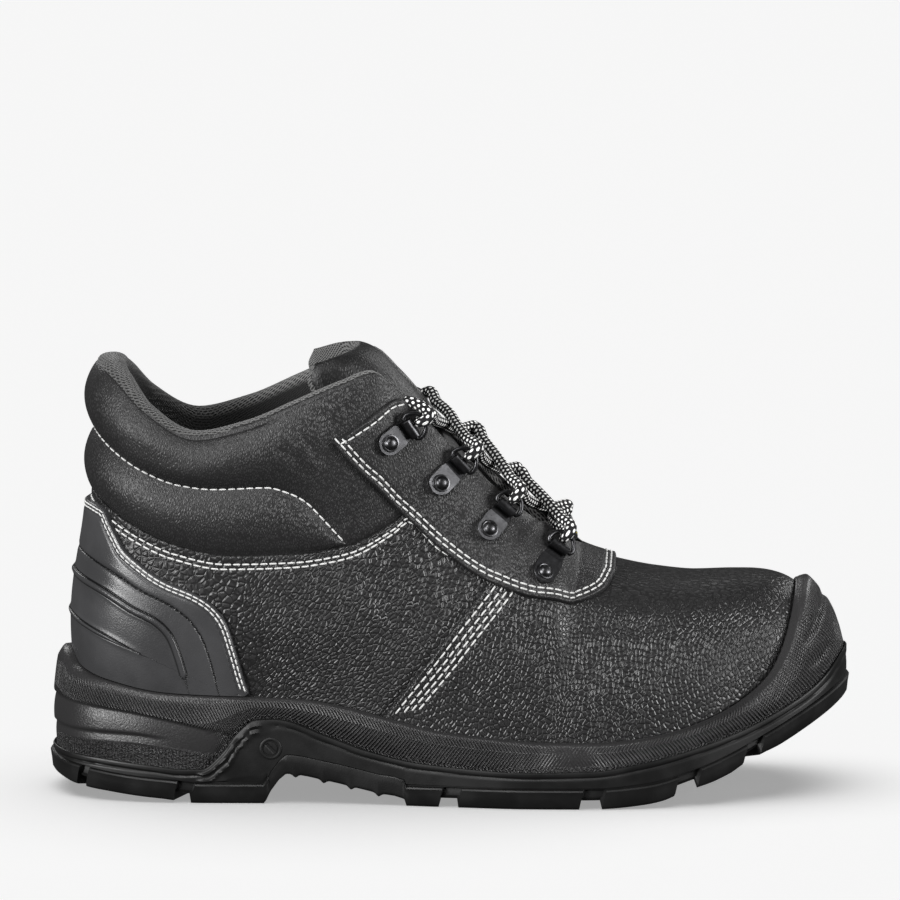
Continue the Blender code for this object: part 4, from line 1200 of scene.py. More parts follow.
def add_plug(body):
    """Round moulded plug with a ring groove and a slanting slot, on the bridge's lateral side."""
    x, z = PLUG_PLACE
    around = angle_of(x)
    out = np.append(outward(around), 0.0)
    along = np.array((-out[1], out[0], 0.0))
    up = np.array((0.0, 0.0, 1.0))
    centre = np.append(outline(around) - out[:2] * LUG_PROUD, z)
    radii, heights = np.array(PLUG_RINGS).T
    turns = np.linspace(0, TURN, 49)
    u = radii[:, None] * np.cos(turns)
    v = radii[:, None] * np.sin(turns)
    slot = np.exp(-(((u + v) / PLUG_SLOT["half"]) ** 4)) * (np.hypot(u, v) < PLUG_SLOT["reach"])
    rise = heights[:, None] - PLUG_SLOT["depth"] * slot
    points = centre + u[..., None] * along + v[..., None] * up + rise[..., None] * out
    last = (len(radii) - 1) * len(turns)
    body.add(points, [*grid_quads(len(radii), len(turns)), range(last, last + len(turns) - 1)])


def midsole_body():
    """Cup that holds the upper's lower edge; at the toe its wall climbs over the front as a bumper."""
    places = ring_shares(190, (57, 62, 66, 70, 75, 83, KNURL_TURN))
    station = station_of(places)
    rim = RIM_LINE(places)
    inside = []
    for share in (0, 0.5, 0.9):
        inside.append(skin(places, rim * share) + skin_normal(places, rim * share) * GAP)
    floor = lifted(inside[0][:, :2], SOLE_PLAN("feather", station) - FLOOR_BELOW_FEATHER)
    plan = outline(places) - outward(places) * (LIP("width", station) + LIP_CLEARANCE)[:, None]
    low = lifted(plan, EDGE("z", station) + LIP_CLEARANCE)
    rim_point, rim_normal = surface(places, rim)
    thick = WALL_FORM("rim", station)[:, None]
    high = rim_point + rim_normal * thick
    down = unit(low - high)
    top = [
        rim_point + rim_normal * GAP + down * 0.5,
        rim_point + rim_normal * (GAP + 0.25) - down * 0.1,
        rim_point + rim_normal * (0.45 * thick) - down * 0.35,
        rim_point + rim_normal * (thick - 0.5) - down * 0.2,
    ]
    ups = np.linspace(1, 0, 51)[1:-1]
    outside = []
    for up in ups:
        ring = low + (high - low) * up
        bulge = SWELL("share", up) * WALL_FORM("swell", station)
        for wave in HEEL_WAVES:
            apart = ring[:, 2] - wave["line"]("z", ring[:, 0])
            undercut = eased(-apart, -0.7, 0.9) * np.exp(np.minimum(apart, 0) / WAVE_RUN)
            bulge = bulge - WAVE_DEPTH * undercut * (1 - eased(ring[:, 0], *wave["fade"]))
        for flute in TOE_FLUTES:
            apart, share, _ = side_distance(ring, flute["line"])
            cut = np.sin(math.pi * share.clip(0.02, 0.98)) * bell(apart, flute["half"])
            bulge = bulge - flute["depth"] * cut
        outside.append(ring + rim_normal * bulge[:, None])
    bottom = lifted(plan, core_height(station) + GAP)
    rings = [floor, *inside, *top, high + down * 0.25, *outside, low, bottom]
    grid = np.stack(rings)
    return ring_body(rings, midsole_pattern(grid, plan, low, high))


def midsole_pattern(grid, plan, low, high):
    """Knurls of the wall: distance from the ball, height folded under the rim, and where they are cut."""
    lengths = run_lengths(plan)
    from_toe = np.abs(lengths - lengths[len(lengths) // 2])
    ball = np.interp(KNURL_TURN, plan[:len(plan) // 2 + 1, 0], from_toe[:len(plan) // 2 + 1])
    along = np.abs(from_toe - ball)
    wall = np.linalg.norm(high - low, axis=1)
    up = np.linalg.norm(grid - low[None], axis=-1)
    share = up / wall
    fold = KNURL_FOLD * wall
    folded = fold - np.abs(up - fold)
    x = grid[..., 0]
    first, second = (wave["line"]("z", x) for wave in HEEL_WAVES)
    heel = 1 - eased(x, *KNURL_HEEL)
    under = heel * eased(first - grid[..., 2], -0.5, 0.5)
    ribbed = under * eased(second - 3.5 - grid[..., 2], -0.5, 1.0)
    toe = eased(x, *KNURL_TOE)
    strength = (1 - under + 0.35 * ribbed) * (1 - eased(share, 0.84, 0.97))
    strength = strength * (0.08 + 0.92 * eased(along, 3, 24)) * (1 - toe * eased(share, 0.78, 0.96))
    folded = folded * (1 - ribbed) + toe * (up - folded)
    along = np.broadcast_to(along[None, :], up.shape)
    return np.stack((along, folded, strength, np.broadcast_to(toe, up.shape)), axis=-1)


def insole_body():
    """Footbed with a rounded edge on the midsole's floor, inside the upper."""
    places = ring_shares(80)
    station = station_of(places)
    normal = skin_normal(places, 0.0 * places)
    flat = unit(normal[:, :2])
    plan = skin(places, 0.0 * places)[:, :2] - flat * (WALL + INSOLE_MARGIN)
    low = SOLE_PLAN("feather", station) - FLOOR_BELOW_FEATHER + GAP
    rows = ((0, 0), (0, 0.75), (0.3, 0.93), (0.9, 1), (4, 0.94), (9, 0.88))
    rings = [lifted(plan - flat * inset, low + INSOLE_THICKNESS * rise) for inset, rise in rows]
    return ring_body(rings)


RIM_COVER = Table("station rows", (0, 0), (12, 0), (26, 1), (44, 2), (70, 3), (140, 3), (302, 3))
RIM_PALE_BACK = 0.5
RIM_STEPS = 12


def lining_body():
    """The upper's inner wall, its padded rim, and the hidden face that the leather panels lie on."""
    places = ring_shares(130, (116, 128, 134, 145, 163, 180, 190, THROAT_FRONT, 200))
    station = station_of(places)
    padding = COLLAR_ROLLS("padding", station)
    seam = SEAM_LINE(places)
    heights = np.concatenate((np.linspace(0, 0.5, 12), np.linspace(0.53, 1, 30)))
    around = np.broadcast_to(places[None, :], (len(heights), len(places)))
    height = np.broadcast_to(heights[:, None], around.shape)
    face, normal = surface(around, height)
    fill = padding[None, :] * eased(height, seam[None, :] - 0.06, seam[None, :] + 0.1)
    inner = face - normal * (WALL + (COLLAR_WALL - WALL) * fill)[..., None]
    sunk = ground(around, height) - BASE_DEPTH * eased(1 - height, 0, 0.03)
    outer = face + normal * np.where(station[None, :] > THROAT_FRONT - 1, -BASE_DEPTH, sunk)[..., None]
    across = (outer[-1] - inner[-1]) / 2
    middle = (outer[-1] + inner[-1]) / 2
    full = np.minimum(padding, 1)
    rise = np.array((0, 0, 1.0)) * (RIM_CROWN * full + 0.6 * (1 - full))[:, None]
    rise = rise * (station < THROAT_FRONT - 0.5)[:, None]
    turns = np.linspace(0, math.pi, RIM_STEPS + 1)[1:-1]
    arc = [middle + across * math.cos(turn) + rise * math.sin(turn) for turn in turns]
    rows = np.concatenate((outer, np.stack(arc), inner[::-1], outer[:1]))
    columns = len(places)
    lengths = run_lengths(rows)
    along = np.broadcast_to(run_lengths(face[len(heights) // 2])[None, :], lengths.shape)
    quads = grid_quads(len(rows), columns)
    column = quads[:, 0] % columns
    arc_row = quads[:, 0] // columns - len(heights) + 1
    on_rim = (arc_row >= 0) & (arc_row < RIM_STEPS)
    ridge = np.minimum(station[:-1], station[1:]) > THROAT_FRONT - 0.6
    covered = (arc_row >= 0) & (arc_row < RIM_COVER("rows", station[column]).round())
    kept = ~(on_rim & ridge[column])
    last_rim = len(heights) + RIM_STEPS - 1
    inside = np.arange(len(rows)) > last_rim
    deep = lengths - lengths[last_rim]
    # Share of the knit's colour: on the rim it grows from RIM_PALE_BACK at the heel's back to full; on the
    # inner wall it is painted shade, near black and darker deeper in.
    rim_pale = RIM_PALE_BACK + (1 - RIM_PALE_BACK) * eased(station, 30, 80)
    tone_and_painted_shade = np.where(inside[:, None], 0.05 * (1 - eased(deep, 1, 18)), rim_pale[None, :])
    body = Body()
    pattern = np.stack((along, lengths, tone_and_painted_shade, 0 * tone_and_painted_shade), axis=-1)
    body.add(rows, quads[kept], pattern, covered[kept].astype(int))
    return body


def stacked(first, second, steps):
    """Shares from 0 to 1: those given for both ends, and even steps between them."""
    return np.concatenate((first, np.linspace(first[-1], second[0], steps + 2)[1:-1], second))


# Edge of a leather panel: its rounding, the steps of its grid in from it, and the panels' rough sizes.
EDGE_RADIUS = 0.9
WALL_HEIGHT = 62.0
VAMP_LENGTH = 130.0
FACING_WIDTH = 36.0
EDGE_STEPS = np.array((0, 0.12, 0.3, 0.55, 0.9, 1.4, 2.0, 2.6, 3.2, 3.8, 4.4, 5.0, 5.6, 6.2, 7.0, 8.2))


def rounded(distance, radius):
    """Quarter-round profile of a sheet's edge: 0 at the edge and 1 from one radius in."""
    inside = np.clip(distance / radius, 0, 1)
    return np.sqrt(1 - (1 - inside) ** 2)


def stitched(distance, rows, depth=0.28, half=0.6):
    """How far the thread of rows at given distances from an edge draws the leather in."""
    return sum(depth * bell(distance - row, half) for row in rows)


QUARTER_ROWS = (3.6, 5.5)
VAMP_ROWS = (3.0, 5.6, 7.8, 9.9)
EYESTAY_ROWS = (2.2, 4.0)
COUNTER_ROWS = (1.0, 2.3)
EYESTAY_END_ROW = 2.4

# Where the rows end: rows of the vamp's grid under the facing, and the collar's valley with its share sewn.
VAMP_SEWN_ROWS = 64
VALLEY_ROW = 18
VALLEY_REACH = 0.86

# Pitch, length and thread of the stitches, as shares of the usual ones.
PLAIN_GAUGE = (1.0, 1.0, 1.0)
VAMP_GAUGE = (1.15, 1.1, 1.0)
COUNTER_GAUGE = (0.8, 0.86, 0.85)


def from_edge(points, side):
    """Length along each line of a grid from one of its four borders."""
    if side == "top":
        return run_lengths(points[::-1])[::-1]
    if side == "bottom":
        return run_lengths(points)
    turned = points.swapaxes(0, 1)
    if side == "left":
        return run_lengths(turned).T
    return run_lengths(turned[::-1])[::-1].T


def quarter_grid():
    """Leather of both quarters, from the vamp round the heel to the vamp, its top under the collar."""
    shares = stacked(np.linspace(0, 0.04, 3), 1 - EDGE_STEPS[::-1] / WALL_HEIGHT, 34)
    sweep = np.linspace(-1, 1, 321)
    front = vamp_start(shares) + VAMP_OVERLAP
    around = front[:, None] * sweep[None, :]
    height = shares[:, None] * QUARTER_LINE(around)
    face, normal = surface(around, height)
    from_top = from_edge(face, "top")
    lift = -PANEL_DEPTH + PANEL_DEPTH * rounded(from_top, EDGE_RADIUS) - stitched(from_top, QUARTER_ROWS)
    dip = VAMP_DIP * bell(vamp_front(around, height) + 0.5, 0.9)
    lift = lift - crease_depth(face) - dip
    return face, normal, lift, from_top, panel_pattern(around, face, eased(face[..., 0], *DRAWN_FROM))


def vamp_grid():
    """Leather of the vamp, from its lateral rear edge round the toe to its medial rear edge."""
    heights = np.linspace(0.02, 1, 76)
    near = EDGE_STEPS / VAMP_LENGTH
    more = np.array((9.6, 11.2, 13.0)) / VAMP_LENGTH
    half = np.concatenate((near, more, np.linspace(0.115, 1, 120)))
    start = vamp_start(heights)[:, None]
    lateral = start + (math.pi - start) * half[None, :]
    around = np.concatenate((lateral, TURN - lateral[:, -2::-1]), axis=1)
    height = np.broadcast_to(heights[:, None], around.shape)
    face, normal = surface(around, height)
    from_rear = np.minimum(from_edge(face, "left"), from_edge(face, "right"))
    step = VAMP_STEP * (1 - eased(from_rear, VAMP_FLAT, VAMP_FADE))
    lift = step - (VAMP_STEP + 0.3) * (1 - rounded(from_rear, EDGE_RADIUS)) - stitched(from_rear, VAMP_ROWS)
    lift = lift - crease_depth(face) * eased(from_rear, 0, 10)
    pattern = panel_pattern(around, face, 1 - eased(height, *DRAWN_BELOW))
    return face, normal, lift, from_rear, around, pattern


GIRTH_PLACES = np.linspace(-math.pi, 3 * math.pi, 1441)
GIRTH_LENGTHS = run_lengths(skin(GIRTH_PLACES, 0.4))


def panel_pattern(around, face, share):
    """Place round the foot and up the wall in millimetres, and the share of drawn-out grain."""
    along = np.interp(around, GIRTH_PLACES, GIRTH_LENGTHS)
    return np.stack((along, from_edge(face, "bottom"), share, 0 * share), axis=-1)


def collar_grid():
    """Padded leather of the collar: two rolls with the quilted valley between them."""
    sweep = np.linspace(-1, 1, 321)
    around = (sweep * angle_of(COLLAR_FRONT))[None, :]
    seam = SEAM_LINE(around)
    quilt = np.clip(QUILT_LINE(around), seam + 0.004, 1)
    rows = [seam - 0.03, seam - 0.012]
    rows += [seam + (quilt - seam) * share for share in np.linspace(0, 1, 17)]
    rows += [quilt + (1 - quilt) * share for share in np.linspace(0, 1, 27)[1:]]
    height = np.concatenate(rows)
    around = np.broadcast_to(around, height.shape)
    face, normal = surface(around, height)
    above_seam = (height - seam) * RIBS("top_z", station_of(around))
    lift = collar_lift(around, height) - COLLAR_TUCK * (1 - eased(above_seam, -0.5, 2.2))
    lift = lift - crease_depth(face)
    return face, normal, lift


def counter_grid():
    """Moulded cap round the heel's back: a stitched flange along its edge and raised lines."""
    shares = np.linspace(0, 1, 130)
    edge_around, edge_height = side_line(LATERAL, COUNTER_EDGE, shares)
    back = float(crossing(np.array((0.0,)), Table("x z", (0, 113.5), (22.6, 108.7)))[0])
    start = np.linspace(0, edge_around[0], 26)[:-1]
    blend = (start / edge_around[0]) ** 2
    top_around = np.concatenate((start, edge_around))
    top_height = np.concatenate((back + (edge_height[0] - back) * blend, edge_height))
    lengths = run_lengths(skin(top_around, top_height))
    foot_around = angle_of(COUNTER_FOOT) * lengths / lengths[-1]
    foot_height = RIM_LINE(foot_around) + 0.006
    rows = stacked(np.array((0, 0.012, 0.03)), 1 - EDGE_STEPS[::-1] / WALL_HEIGHT, 84)[:, None]
    half_around = foot_around + (top_around - foot_around) * rows
    half_height = foot_height + (top_height - foot_height) * rows
    around = np.concatenate((-half_around[:, :0:-1], half_around), axis=1)
    height = np.concatenate((half_height[:, :0:-1], half_height), axis=1)
    face, normal = surface(around, height)
    border = np.concatenate((face[-1], face[:, 0], face[:, -1]))
    from_border = distance_to(face, border)
    lift = COUNTER_SEAT + COUNTER_THICKNESS * rounded(from_border, EDGE_RADIUS)
    lift = lift - stitched(from_border, COUNTER_ROWS, 0.2, 0.4)
    lift = lift - 0.45 * bell(from_border - COUNTER_FLANGE, 0.45)
    inside = eased(from_border, COUNTER_FLANGE, COUNTER_FLANGE + 1.5)
    pattern = []
    for relief in COUNTER_RELIEF:
        apart, share, above = side_distance(face, relief["line"])
        length = run_lengths(np.array(relief["line"], float))[-1]
        taper = eased((1 - share) * length, -0.4 * relief["taper"], relief["taper"])
        lift = lift + inside * relief["rise"] * taper * bell(apart, relief["half"])
        pattern.append(above * (apart + relief["half"] * (1 - taper) + 3 * (1 - inside)))
    pattern.append(from_border)
    return face, normal, lift, from_border, np.stack(pattern, axis=-1)


def eyestay_grid(side):
    """One side of the facing round the throat, from its end at the collar to the ridge of the vamp."""
    columns = np.linspace(0, 1, 150)
    edge_around, edge_height = side_line(side, EYESTAY_EDGE, np.linspace(0, 1, 131))
    ridge = float(on_side(side, angle_of(EYESTAY_FRONT)))
    tail = np.linspace(0, 1, 20)[1:] ** 0.8
    edge_around = np.append(edge_around, edge_around[-1] + (ridge - edge_around[-1]) * tail)
    edge_height = np.append(edge_height, edge_height[-1] + (1 - edge_height[-1]) * tail)
    flat = np.column_stack((edge_around, edge_height)) * SOLE_LENGTH / 2
    low = spread_over(flat[::3], columns) / (SOLE_LENGTH / 2)
    low[-1] = (ridge, 1.0)
    throat = on_side(side, angle_of(EYESTAY_TOP + (THROAT_FRONT - EYESTAY_TOP) * columns))
    high = np.column_stack((throat, np.ones_like(throat)))
    rows = stacked(EDGE_STEPS / FACING_WIDTH, 1 - EDGE_STEPS[6::-1] / FACING_WIDTH, 14)
    place = low[None] + (high - low)[None] * rows[:, None, None]
    end_around, end_height = side_line(side, EYESTAY_END, rows)
    bend = np.stack((end_around, end_height), axis=-1) - place[:, 0]
    place = place + bend[:, None] * ((1 - columns[None, :, None]) ** 6)
    around = place[..., 0]
    height = place[..., 1].clip(0, 1)
    height[:, -1] = 1.0
    face, normal = surface(around, height)
    border = np.concatenate((face[0], face[-1], face[:, 0]))
    from_border = distance_to(face, border)
    from_low = distance_to(face, face[0])
    from_end = distance_to(face, face[:, 0])
    base = ground(around, height)
    lift = base + EYESTAY_SEAT + (EYESTAY_THICKNESS + 0.5) * rounded(from_border, EDGE_RADIUS) - 0.5
    lift = lift - stitched(from_low, EYESTAY_ROWS) - stitched(from_end, (EYESTAY_END_ROW,))
    return {"face": face, "normal": normal, "lift": lift, "low": from_low, "end": from_end, "rows": rows}


def shell_body(face, normal, lift, depth, open_top=None, pattern=None):
    """Closed sheet with an outer face lifted off the upper and a plain back at a depth."""
    body = Body()
    back = np.broadcast_to(-depth, lift.shape)
    body.shell(raised(face, normal, lift), raised(face, normal, back), open_top, pattern)
    return body


def level_line(points, normals, distance, wanted, axis=0):
    """Points and normals where each line of a grid reaches a distance from an edge."""
    if axis:
        points, normals, distance = (grid.swapaxes(0, 1) for grid in (points, normals, distance))
    found = []
    for i in range(points.shape[1]):
        values = distance[:, i]
        reached = np.nonzero((values[:-1] - wanted) * (values[1:] - wanted) <= 0)[0]
        if len(reached) == 0:
            continue
        j = reached[0]
        share = (wanted - values[j]) / (values[j + 1] - values[j] + 1e-9)
        point = points[j, i] + (points[j + 1, i] - points[j, i]) * share
        found.append(np.concatenate((point, normals[j, i])))
    found = np.array(found)
    return found[:, :3], found[:, 3:]


STITCH_RINGS = ((-1.0, 0.4, -0.7), (-0.72, 0.9, 0.2), (0.0, 1.0, 0.55), (0.72, 0.9, 0.2), (1.0, 0.4, -0.7))
STITCH_SIDES = 6


class Sewing:
    """Rows of separate thread stitches, gathered in one body."""

    def __init__(self, sizes):
        self.body = Body()
        self.pitch = to_mm(sizes.pitch)
        self.length = to_mm(sizes.stitch)
        self.radius = to_mm(sizes.thread) / 2

    def rows(self, points, normals, distance, wanted, shift, gauge=PLAIN_GAUGE, axis=0):
        """Rows at wanted distances from a grid's edge, each shifted on from the one before."""
        for number, row in enumerate(wanted):
            self.row(*level_line(points, normals, distance, row, axis), shift * number, gauge)

    def row(self, points, normals, shift=0.0, gauge=PLAIN_GAUGE):
        """One row along a path on a surface. The gauge scales pitch, length and thread."""
        pitch, length, radius = np.array((self.pitch, self.length, self.radius)) * gauge
        lengths = run_lengths(points)
        keep = np.concatenate(([True], np.diff(lengths) > 1e-5))
        points, normals, lengths = points[keep], normals[keep], lengths[keep]
        centres = np.arange(pitch * (0.6 + shift), lengths[-1] - pitch * 0.5, pitch)

        def at(values, where):
            return np.stack([np.interp(where, lengths, column) for column in values.T], axis=-1)

        middle = at(points, centres)
        along = unit(at(points, centres + length / 2) - at(points, centres - length / 2))
        up = at(normals, centres)
        up = unit(up - along * (up * along).sum(axis=1, keepdims=True))
        side = np.cross(up, along)
        template = []
        places = []
        for forward, girth, rise in STITCH_RINGS:
            for turn in np.linspace(0, TURN, STITCH_SIDES, endpoint=False):
                across = girth * math.cos(turn)
                above = girth * math.sin(turn) + rise
                template.append((forward * length / 2, radius * across, radius * above))
                places.append((forward * length / 2, turn / TURN))
        shape = np.array(template)
        faces = tube_faces(len(STITCH_RINGS), STITCH_SIDES)
        for i in range(len(centres)):
            placed = middle[i] + shape @ np.stack((along[i], side[i], up[i]))
            self.body.add(placed, faces, places)


def tongue_sections():
    """Outer points of the tongue across each section, and the thickness there, from the toe end up."""
    sections = []
    for station, wing in TONGUE_RIBS:
        halves = {}
        for side in SIDES.values():
            heights = np.array((wing, (wing + 1) / 2, 1.0))
            place = np.full(3, on_side(side, angle_of(station)))
            halves[side] = skin(place, heights) - skin_normal(place, heights) * (WALL + TONGUE_CLEARANCE)
        crown = (halves[LATERAL][2] + halves[MEDIAL][2]) / 2 + INSTEP_OUT * TONGUE_CROWN
        points = np.concatenate((halves[LATERAL], crown[None, :], halves[MEDIAL][::-1]))
        sections.append((points, TONGUE_THICKNESS))
    for row in TONGUE_TOP:
        front = np.array(row["front"])
        wing = np.array(row["wing"])
        side_view = wing + (front - wing) * np.cos(TONGUE_TURNS)[:, None]
        points = np.column_stack((side_view[:, 0], row["half"] * np.sin(TONGUE_TURNS), side_view[:, 1]))
        sections.append((points, row["thickness"]))
    return sections


def refined(grid, at):
    """Grid of points read at more places along its first axis, on smooth curves."""
    lines = [smooth(np.arange(len(grid)), column, at) for column in grid.reshape(len(grid), -1).T]
    return np.stack(lines, axis=-1).reshape(len(at), *grid.shape[1:])


TONGUE_LINING_EDGE = 2.2
TONGUE_LINING_COLUMNS = 1
TONGUE_FREE = 0.52
TONGUE_ROUNDING = 6.0
TONGUE_PALE = 0.75


def tongue_grid():
    """Front and back faces of the padded tongue, with places along and across them."""
    sections = tongue_sections()
    coarse = np.array([points for points, _ in sections])
    rows = np.linspace(0, len(sections) - 1, 80)
    columns = np.linspace(0, 6, 61)
    outer = refined(refined(coarse, rows).swapaxes(0, 1), columns).swapaxes(0, 1)
    thickness = smooth(np.arange(len(sections)), np.array([value for _, value in sections], float), rows)
    normal = unit(np.cross(np.gradient(outer, axis=1), np.gradient(outer, axis=0)))
    edge = np.minimum(from_edge(outer, "left"), from_edge(outer, "right"))
    top = from_edge(outer, "top")
    border = np.minimum(edge, top)
    pad = thickness[:, None] * np.minimum(rounded(border, TONGUE_ROUNDING) + 0.02, 1)
    roll = 0.5 * bell(edge - TONGUE_LINING_EDGE, 0.7)
    front = raised(outer, normal, -0.5 * (thickness[:, None] - pad) - roll)
    back = raised(outer, normal, -0.5 * (thickness[:, None] + pad))
    tone_and_painted_shade = np.full(front.shape[:2], TONGUE_PALE)
    return front, back, np.stack((from_edge(outer, "left"), from_edge(outer, "bottom"), tone_and_painted_shade, tone_and_painted_shade), axis=-1)


def tongue_body():
    """Padded tongue with a leather front and a knitted back that wraps over its free side edges."""
    front, back, lengths = tongue_grid()
    body = Body()
    shape = front.shape[:2]
    body.shell(front, back, None, lengths)
    quads = (shape[0] - 1) * (shape[1] - 1)
    quad_row = np.arange(quads) // (shape[1] - 1)
    quad_column = np.arange(quads) % (shape[1] - 1)
    from_side = np.minimum(quad_column, shape[1] - 2 - quad_column)
    on_lining = (from_side < TONGUE_LINING_COLUMNS) & (quad_row > TONGUE_FREE * shape[0])
    finish = np.ones(len(body.faces), int)
    finish[:quads] = on_lining
    body.finish = list(finish)
    return body


def seated(side, x, z):
    """Point over the facing at a place seen from the side, and the outward direction there."""
    place = skin_place(side, x, z)
    point, normal = surface(*place)
    seat = EYESTAY_SEAT + EYESTAY_THICKNESS + CLIP_SEAT - 0.1
    return point + normal * (seat + collar_lift(*place)), normal


def lacing_frame(side, row):
    """Rivet and ring-bar points of one clip, with the axis to the throat, the width and the normal there."""
    rivet, rivet_normal = seated(side, *row["rivet"])
    bar, bar_normal = seated(side, *row["bar"])
    axis = unit(bar - rivet)
    normal = rivet_normal + bar_normal
    normal = unit(normal - axis * normal.dot(axis))
    return {"rivet": rivet, "bar": bar, "axis": axis, "normal": normal, "width": np.cross(normal, axis)}


# Clips whose plate is painted lighter, as a painted reflection of the lamps.
PAINTED_REFLECTION_CLIPS = (2, 3)
CLIP_FLAT_ROWS = 15
CLIP_BEVEL = 0.22
CLIP_SIDES = 8


def clip_body(holder):
    """Sheet clip: flat under the rivet, rolled into an eye round the ring's bar."""
    reach = np.linalg.norm(holder["bar"] - holder["rivet"])
    eye = RING_WIRE + GAP + CLIP_SHEET / 2
    path = []
    for turn in np.radians(np.linspace(176, 90, 14)):
        path.append((CLIP_TAIL * math.cos(turn), 0.0, CLIP_TAIL * math.sin(turn)))
    path.append((reach * 0.5, 0.0, CLIP_WIDTH / 2))
    path.append((reach * 0.62, 0.0, (CLIP_WIDTH + EYE_WIDTH) / 4))
    for turn in np.radians(np.linspace(-90, 190, 20)):
        path.append((reach + eye * math.cos(turn), eye + eye * math.sin(turn), EYE_WIDTH / 2))
    along = unit(np.gradient(np.array(path)[:, :2], axis=0))
    half_sheet = CLIP_SHEET / 2
    flat = half_sheet - CLIP_BEVEL
    points = []
    for (forward, up, half), (run, climb) in zip(path, along):
        near = half - CLIP_BEVEL
        section = [(-half_sheet, near), (-flat, half), (flat, half), (half_sheet, near)]
        section += [(depth, -across) for depth, across in section[::-1]]
        for depth, across in section:
            at = holder["rivet"] + holder["axis"] * (forward - depth * climb)
            at = at + holder["normal"] * (half_sheet + up + depth * run) + holder["width"] * across
            points.append(at)
    faces = tube_faces(len(path), CLIP_SIDES)
    rolled = np.array([face[0] // CLIP_SIDES >= CLIP_FLAT_ROWS for face in faces])
    body = Body()
    body.add(points, faces, None, rolled.astype(int))
    return body


RIVET_PROFILE = (
    (1.12, 0.0), (1.16, 0.12), (1.12, 0.26), (0.98, 0.3), (0.9, 0.26), (0.84, 0.36), (0.76, 0.6), (0.6, 0.82),
    (0.38, 0.95), (0.16, 1.0),
)


def rivet_body(holder):
    """Domed rivet head with a rim, on the clip."""
    seat = holder["rivet"] + holder["normal"] * (CLIP_SHEET - 0.05)
    turns = np.linspace(0, TURN, 33)
    rings = []
    for spread, rise in RIVET_PROFILE:
        reach = holder["axis"] * np.cos(turns)[:, None] + holder["width"] * np.sin(turns)[:, None]
        rings.append(seat + reach * RIVET_RADIUS * spread + holder["normal"] * (RIVET_HEIGHT + GAP) * rise)
    return ring_body(rings)


def tube_rings(path, radius, sides, closed=False):
    """Rings of points round a path, each ring's last point its first again."""
    path = np.asarray(path)
    run = np.roll(path, -1, axis=0) - np.roll(path, 1, axis=0) if closed else np.gradient(path, axis=0)
    along = unit(run)
    across = np.cross(along[0], (0.3, 0.5, 0.8))
    rings = []
    turns = np.linspace(0, TURN, sides + 1)
    for at, direction, reach in zip(path, along, np.broadcast_to(radius, len(path))):
        across = unit(across - direction * across.dot(direction))
        other = np.cross(direction, across)
        rings.append(at + (across * np.cos(turns)[:, None] + other * np.sin(turns)[:, None]) * reach)
    return rings


def d_ring_body(holder):
    """D-ring: a straight bar in the clip's eye and a round bow towards the throat."""
    centre = ring_centre(holder)
    bow = bow_direction(holder)
    path = [centre + holder["width"] * RING_WIDTH * share for share in np.linspace(-RING_BAR, RING_BAR, 8)]
    for turn in np.radians(np.linspace(-8, 188, 34)):
        across = holder["width"] * RING_WIDTH / 2 * math.cos(turn)
        path.append(centre + across + bow * (1.0 + (RING_REACH - 1.0) * max(0, math.sin(turn))))
    rings = tube_rings(path, RING_WIRE, RING_SIDES, closed=True)
    rings.append(rings[0])
    body = Body()
    body.add(np.concatenate(rings), grid_quads(len(rings), RING_SIDES + 1))
    return body


def ring_centre(holder):
    """Middle of the ring's bar, in the clip's eye."""
    return holder["bar"] + holder["normal"] * (RING_WIRE + GAP + CLIP_SHEET)


def bow_direction(holder):
    """Way from the ring's bar to the tip of its bow."""
    return holder["axis"] * math.cos(RING_TILT) + holder["normal"] * math.sin(RING_TILT)


def curve_through(points, spacing):
    """Closely spaced points of a rounded curve through given points."""
    points = np.asarray(points, float)
    step = np.linalg.norm(np.diff(points, axis=0), axis=1)[:, None]
    slope = np.diff(points, axis=0) / step
    inner = (slope[:-1] * step[1:] + slope[1:] * step[:-1]) / (step[:-1] + step[1:])
    tangent = np.concatenate((slope[:1], inner, slope[-1:]))
    t = np.linspace(0, 1, 24, endpoint=False)[None, :, None]
    leave = points[:-1, None] * (1 + 2 * t) + (tangent[:-1] * step)[:, None] * t
    arrive = points[1:, None] * (3 - 2 * t) - (tangent[1:] * step)[:, None] * (1 - t)
    dense = (leave * (1 - t) ** 2 + arrive * t ** 2).reshape(-1, 3)
    lengths = run_lengths(dense)
    at = np.linspace(0, lengths[-1], int(lengths[-1] / spacing) + 2)
    return np.stack([np.interp(at, lengths, column) for column in dense.T], axis=-1)


LACE_SHARES = (0.2, 0.4, 0.6, 0.8)
LACE_BOW = {"under": -2.5, "over": 0.8, "bar": -2.5}
LACE_CROSS_LIFT = {"under": 0.0, "over": 3.4, "bar": 0.0}
LACE_BAR_SHIFT = 5.0
LACE_SPACING = 0.8
LACE_SIDES = 14
LACE_SQUEEZE = 0.25
LACE_SQUEEZE_REACH = 2.4
LACE_END = ((128.0, -24.5, 146.0), (134.0, -26.0, 150.5))

# Way of the lace round a ring's bow, along the bow and out from it, counted from the tip.
LACE_TURN = ((1.0, 2.4), (-0.8, 2.7), (-2.45, 0.0), (-0.6, -2.3), (1.6, -2.4))


def ring_turn(holder):
    """Points of the lace over a ring's tip, through its eye and out under the tip."""
    bow = bow_direction(holder)
    out = np.cross(bow, holder["width"])
    out = out * np.sign(out.dot(holder["normal"]))
    tip = ring_centre(holder) + bow * RING_REACH
    return [tip + bow * along + out * up for along, up in LACE_TURN]


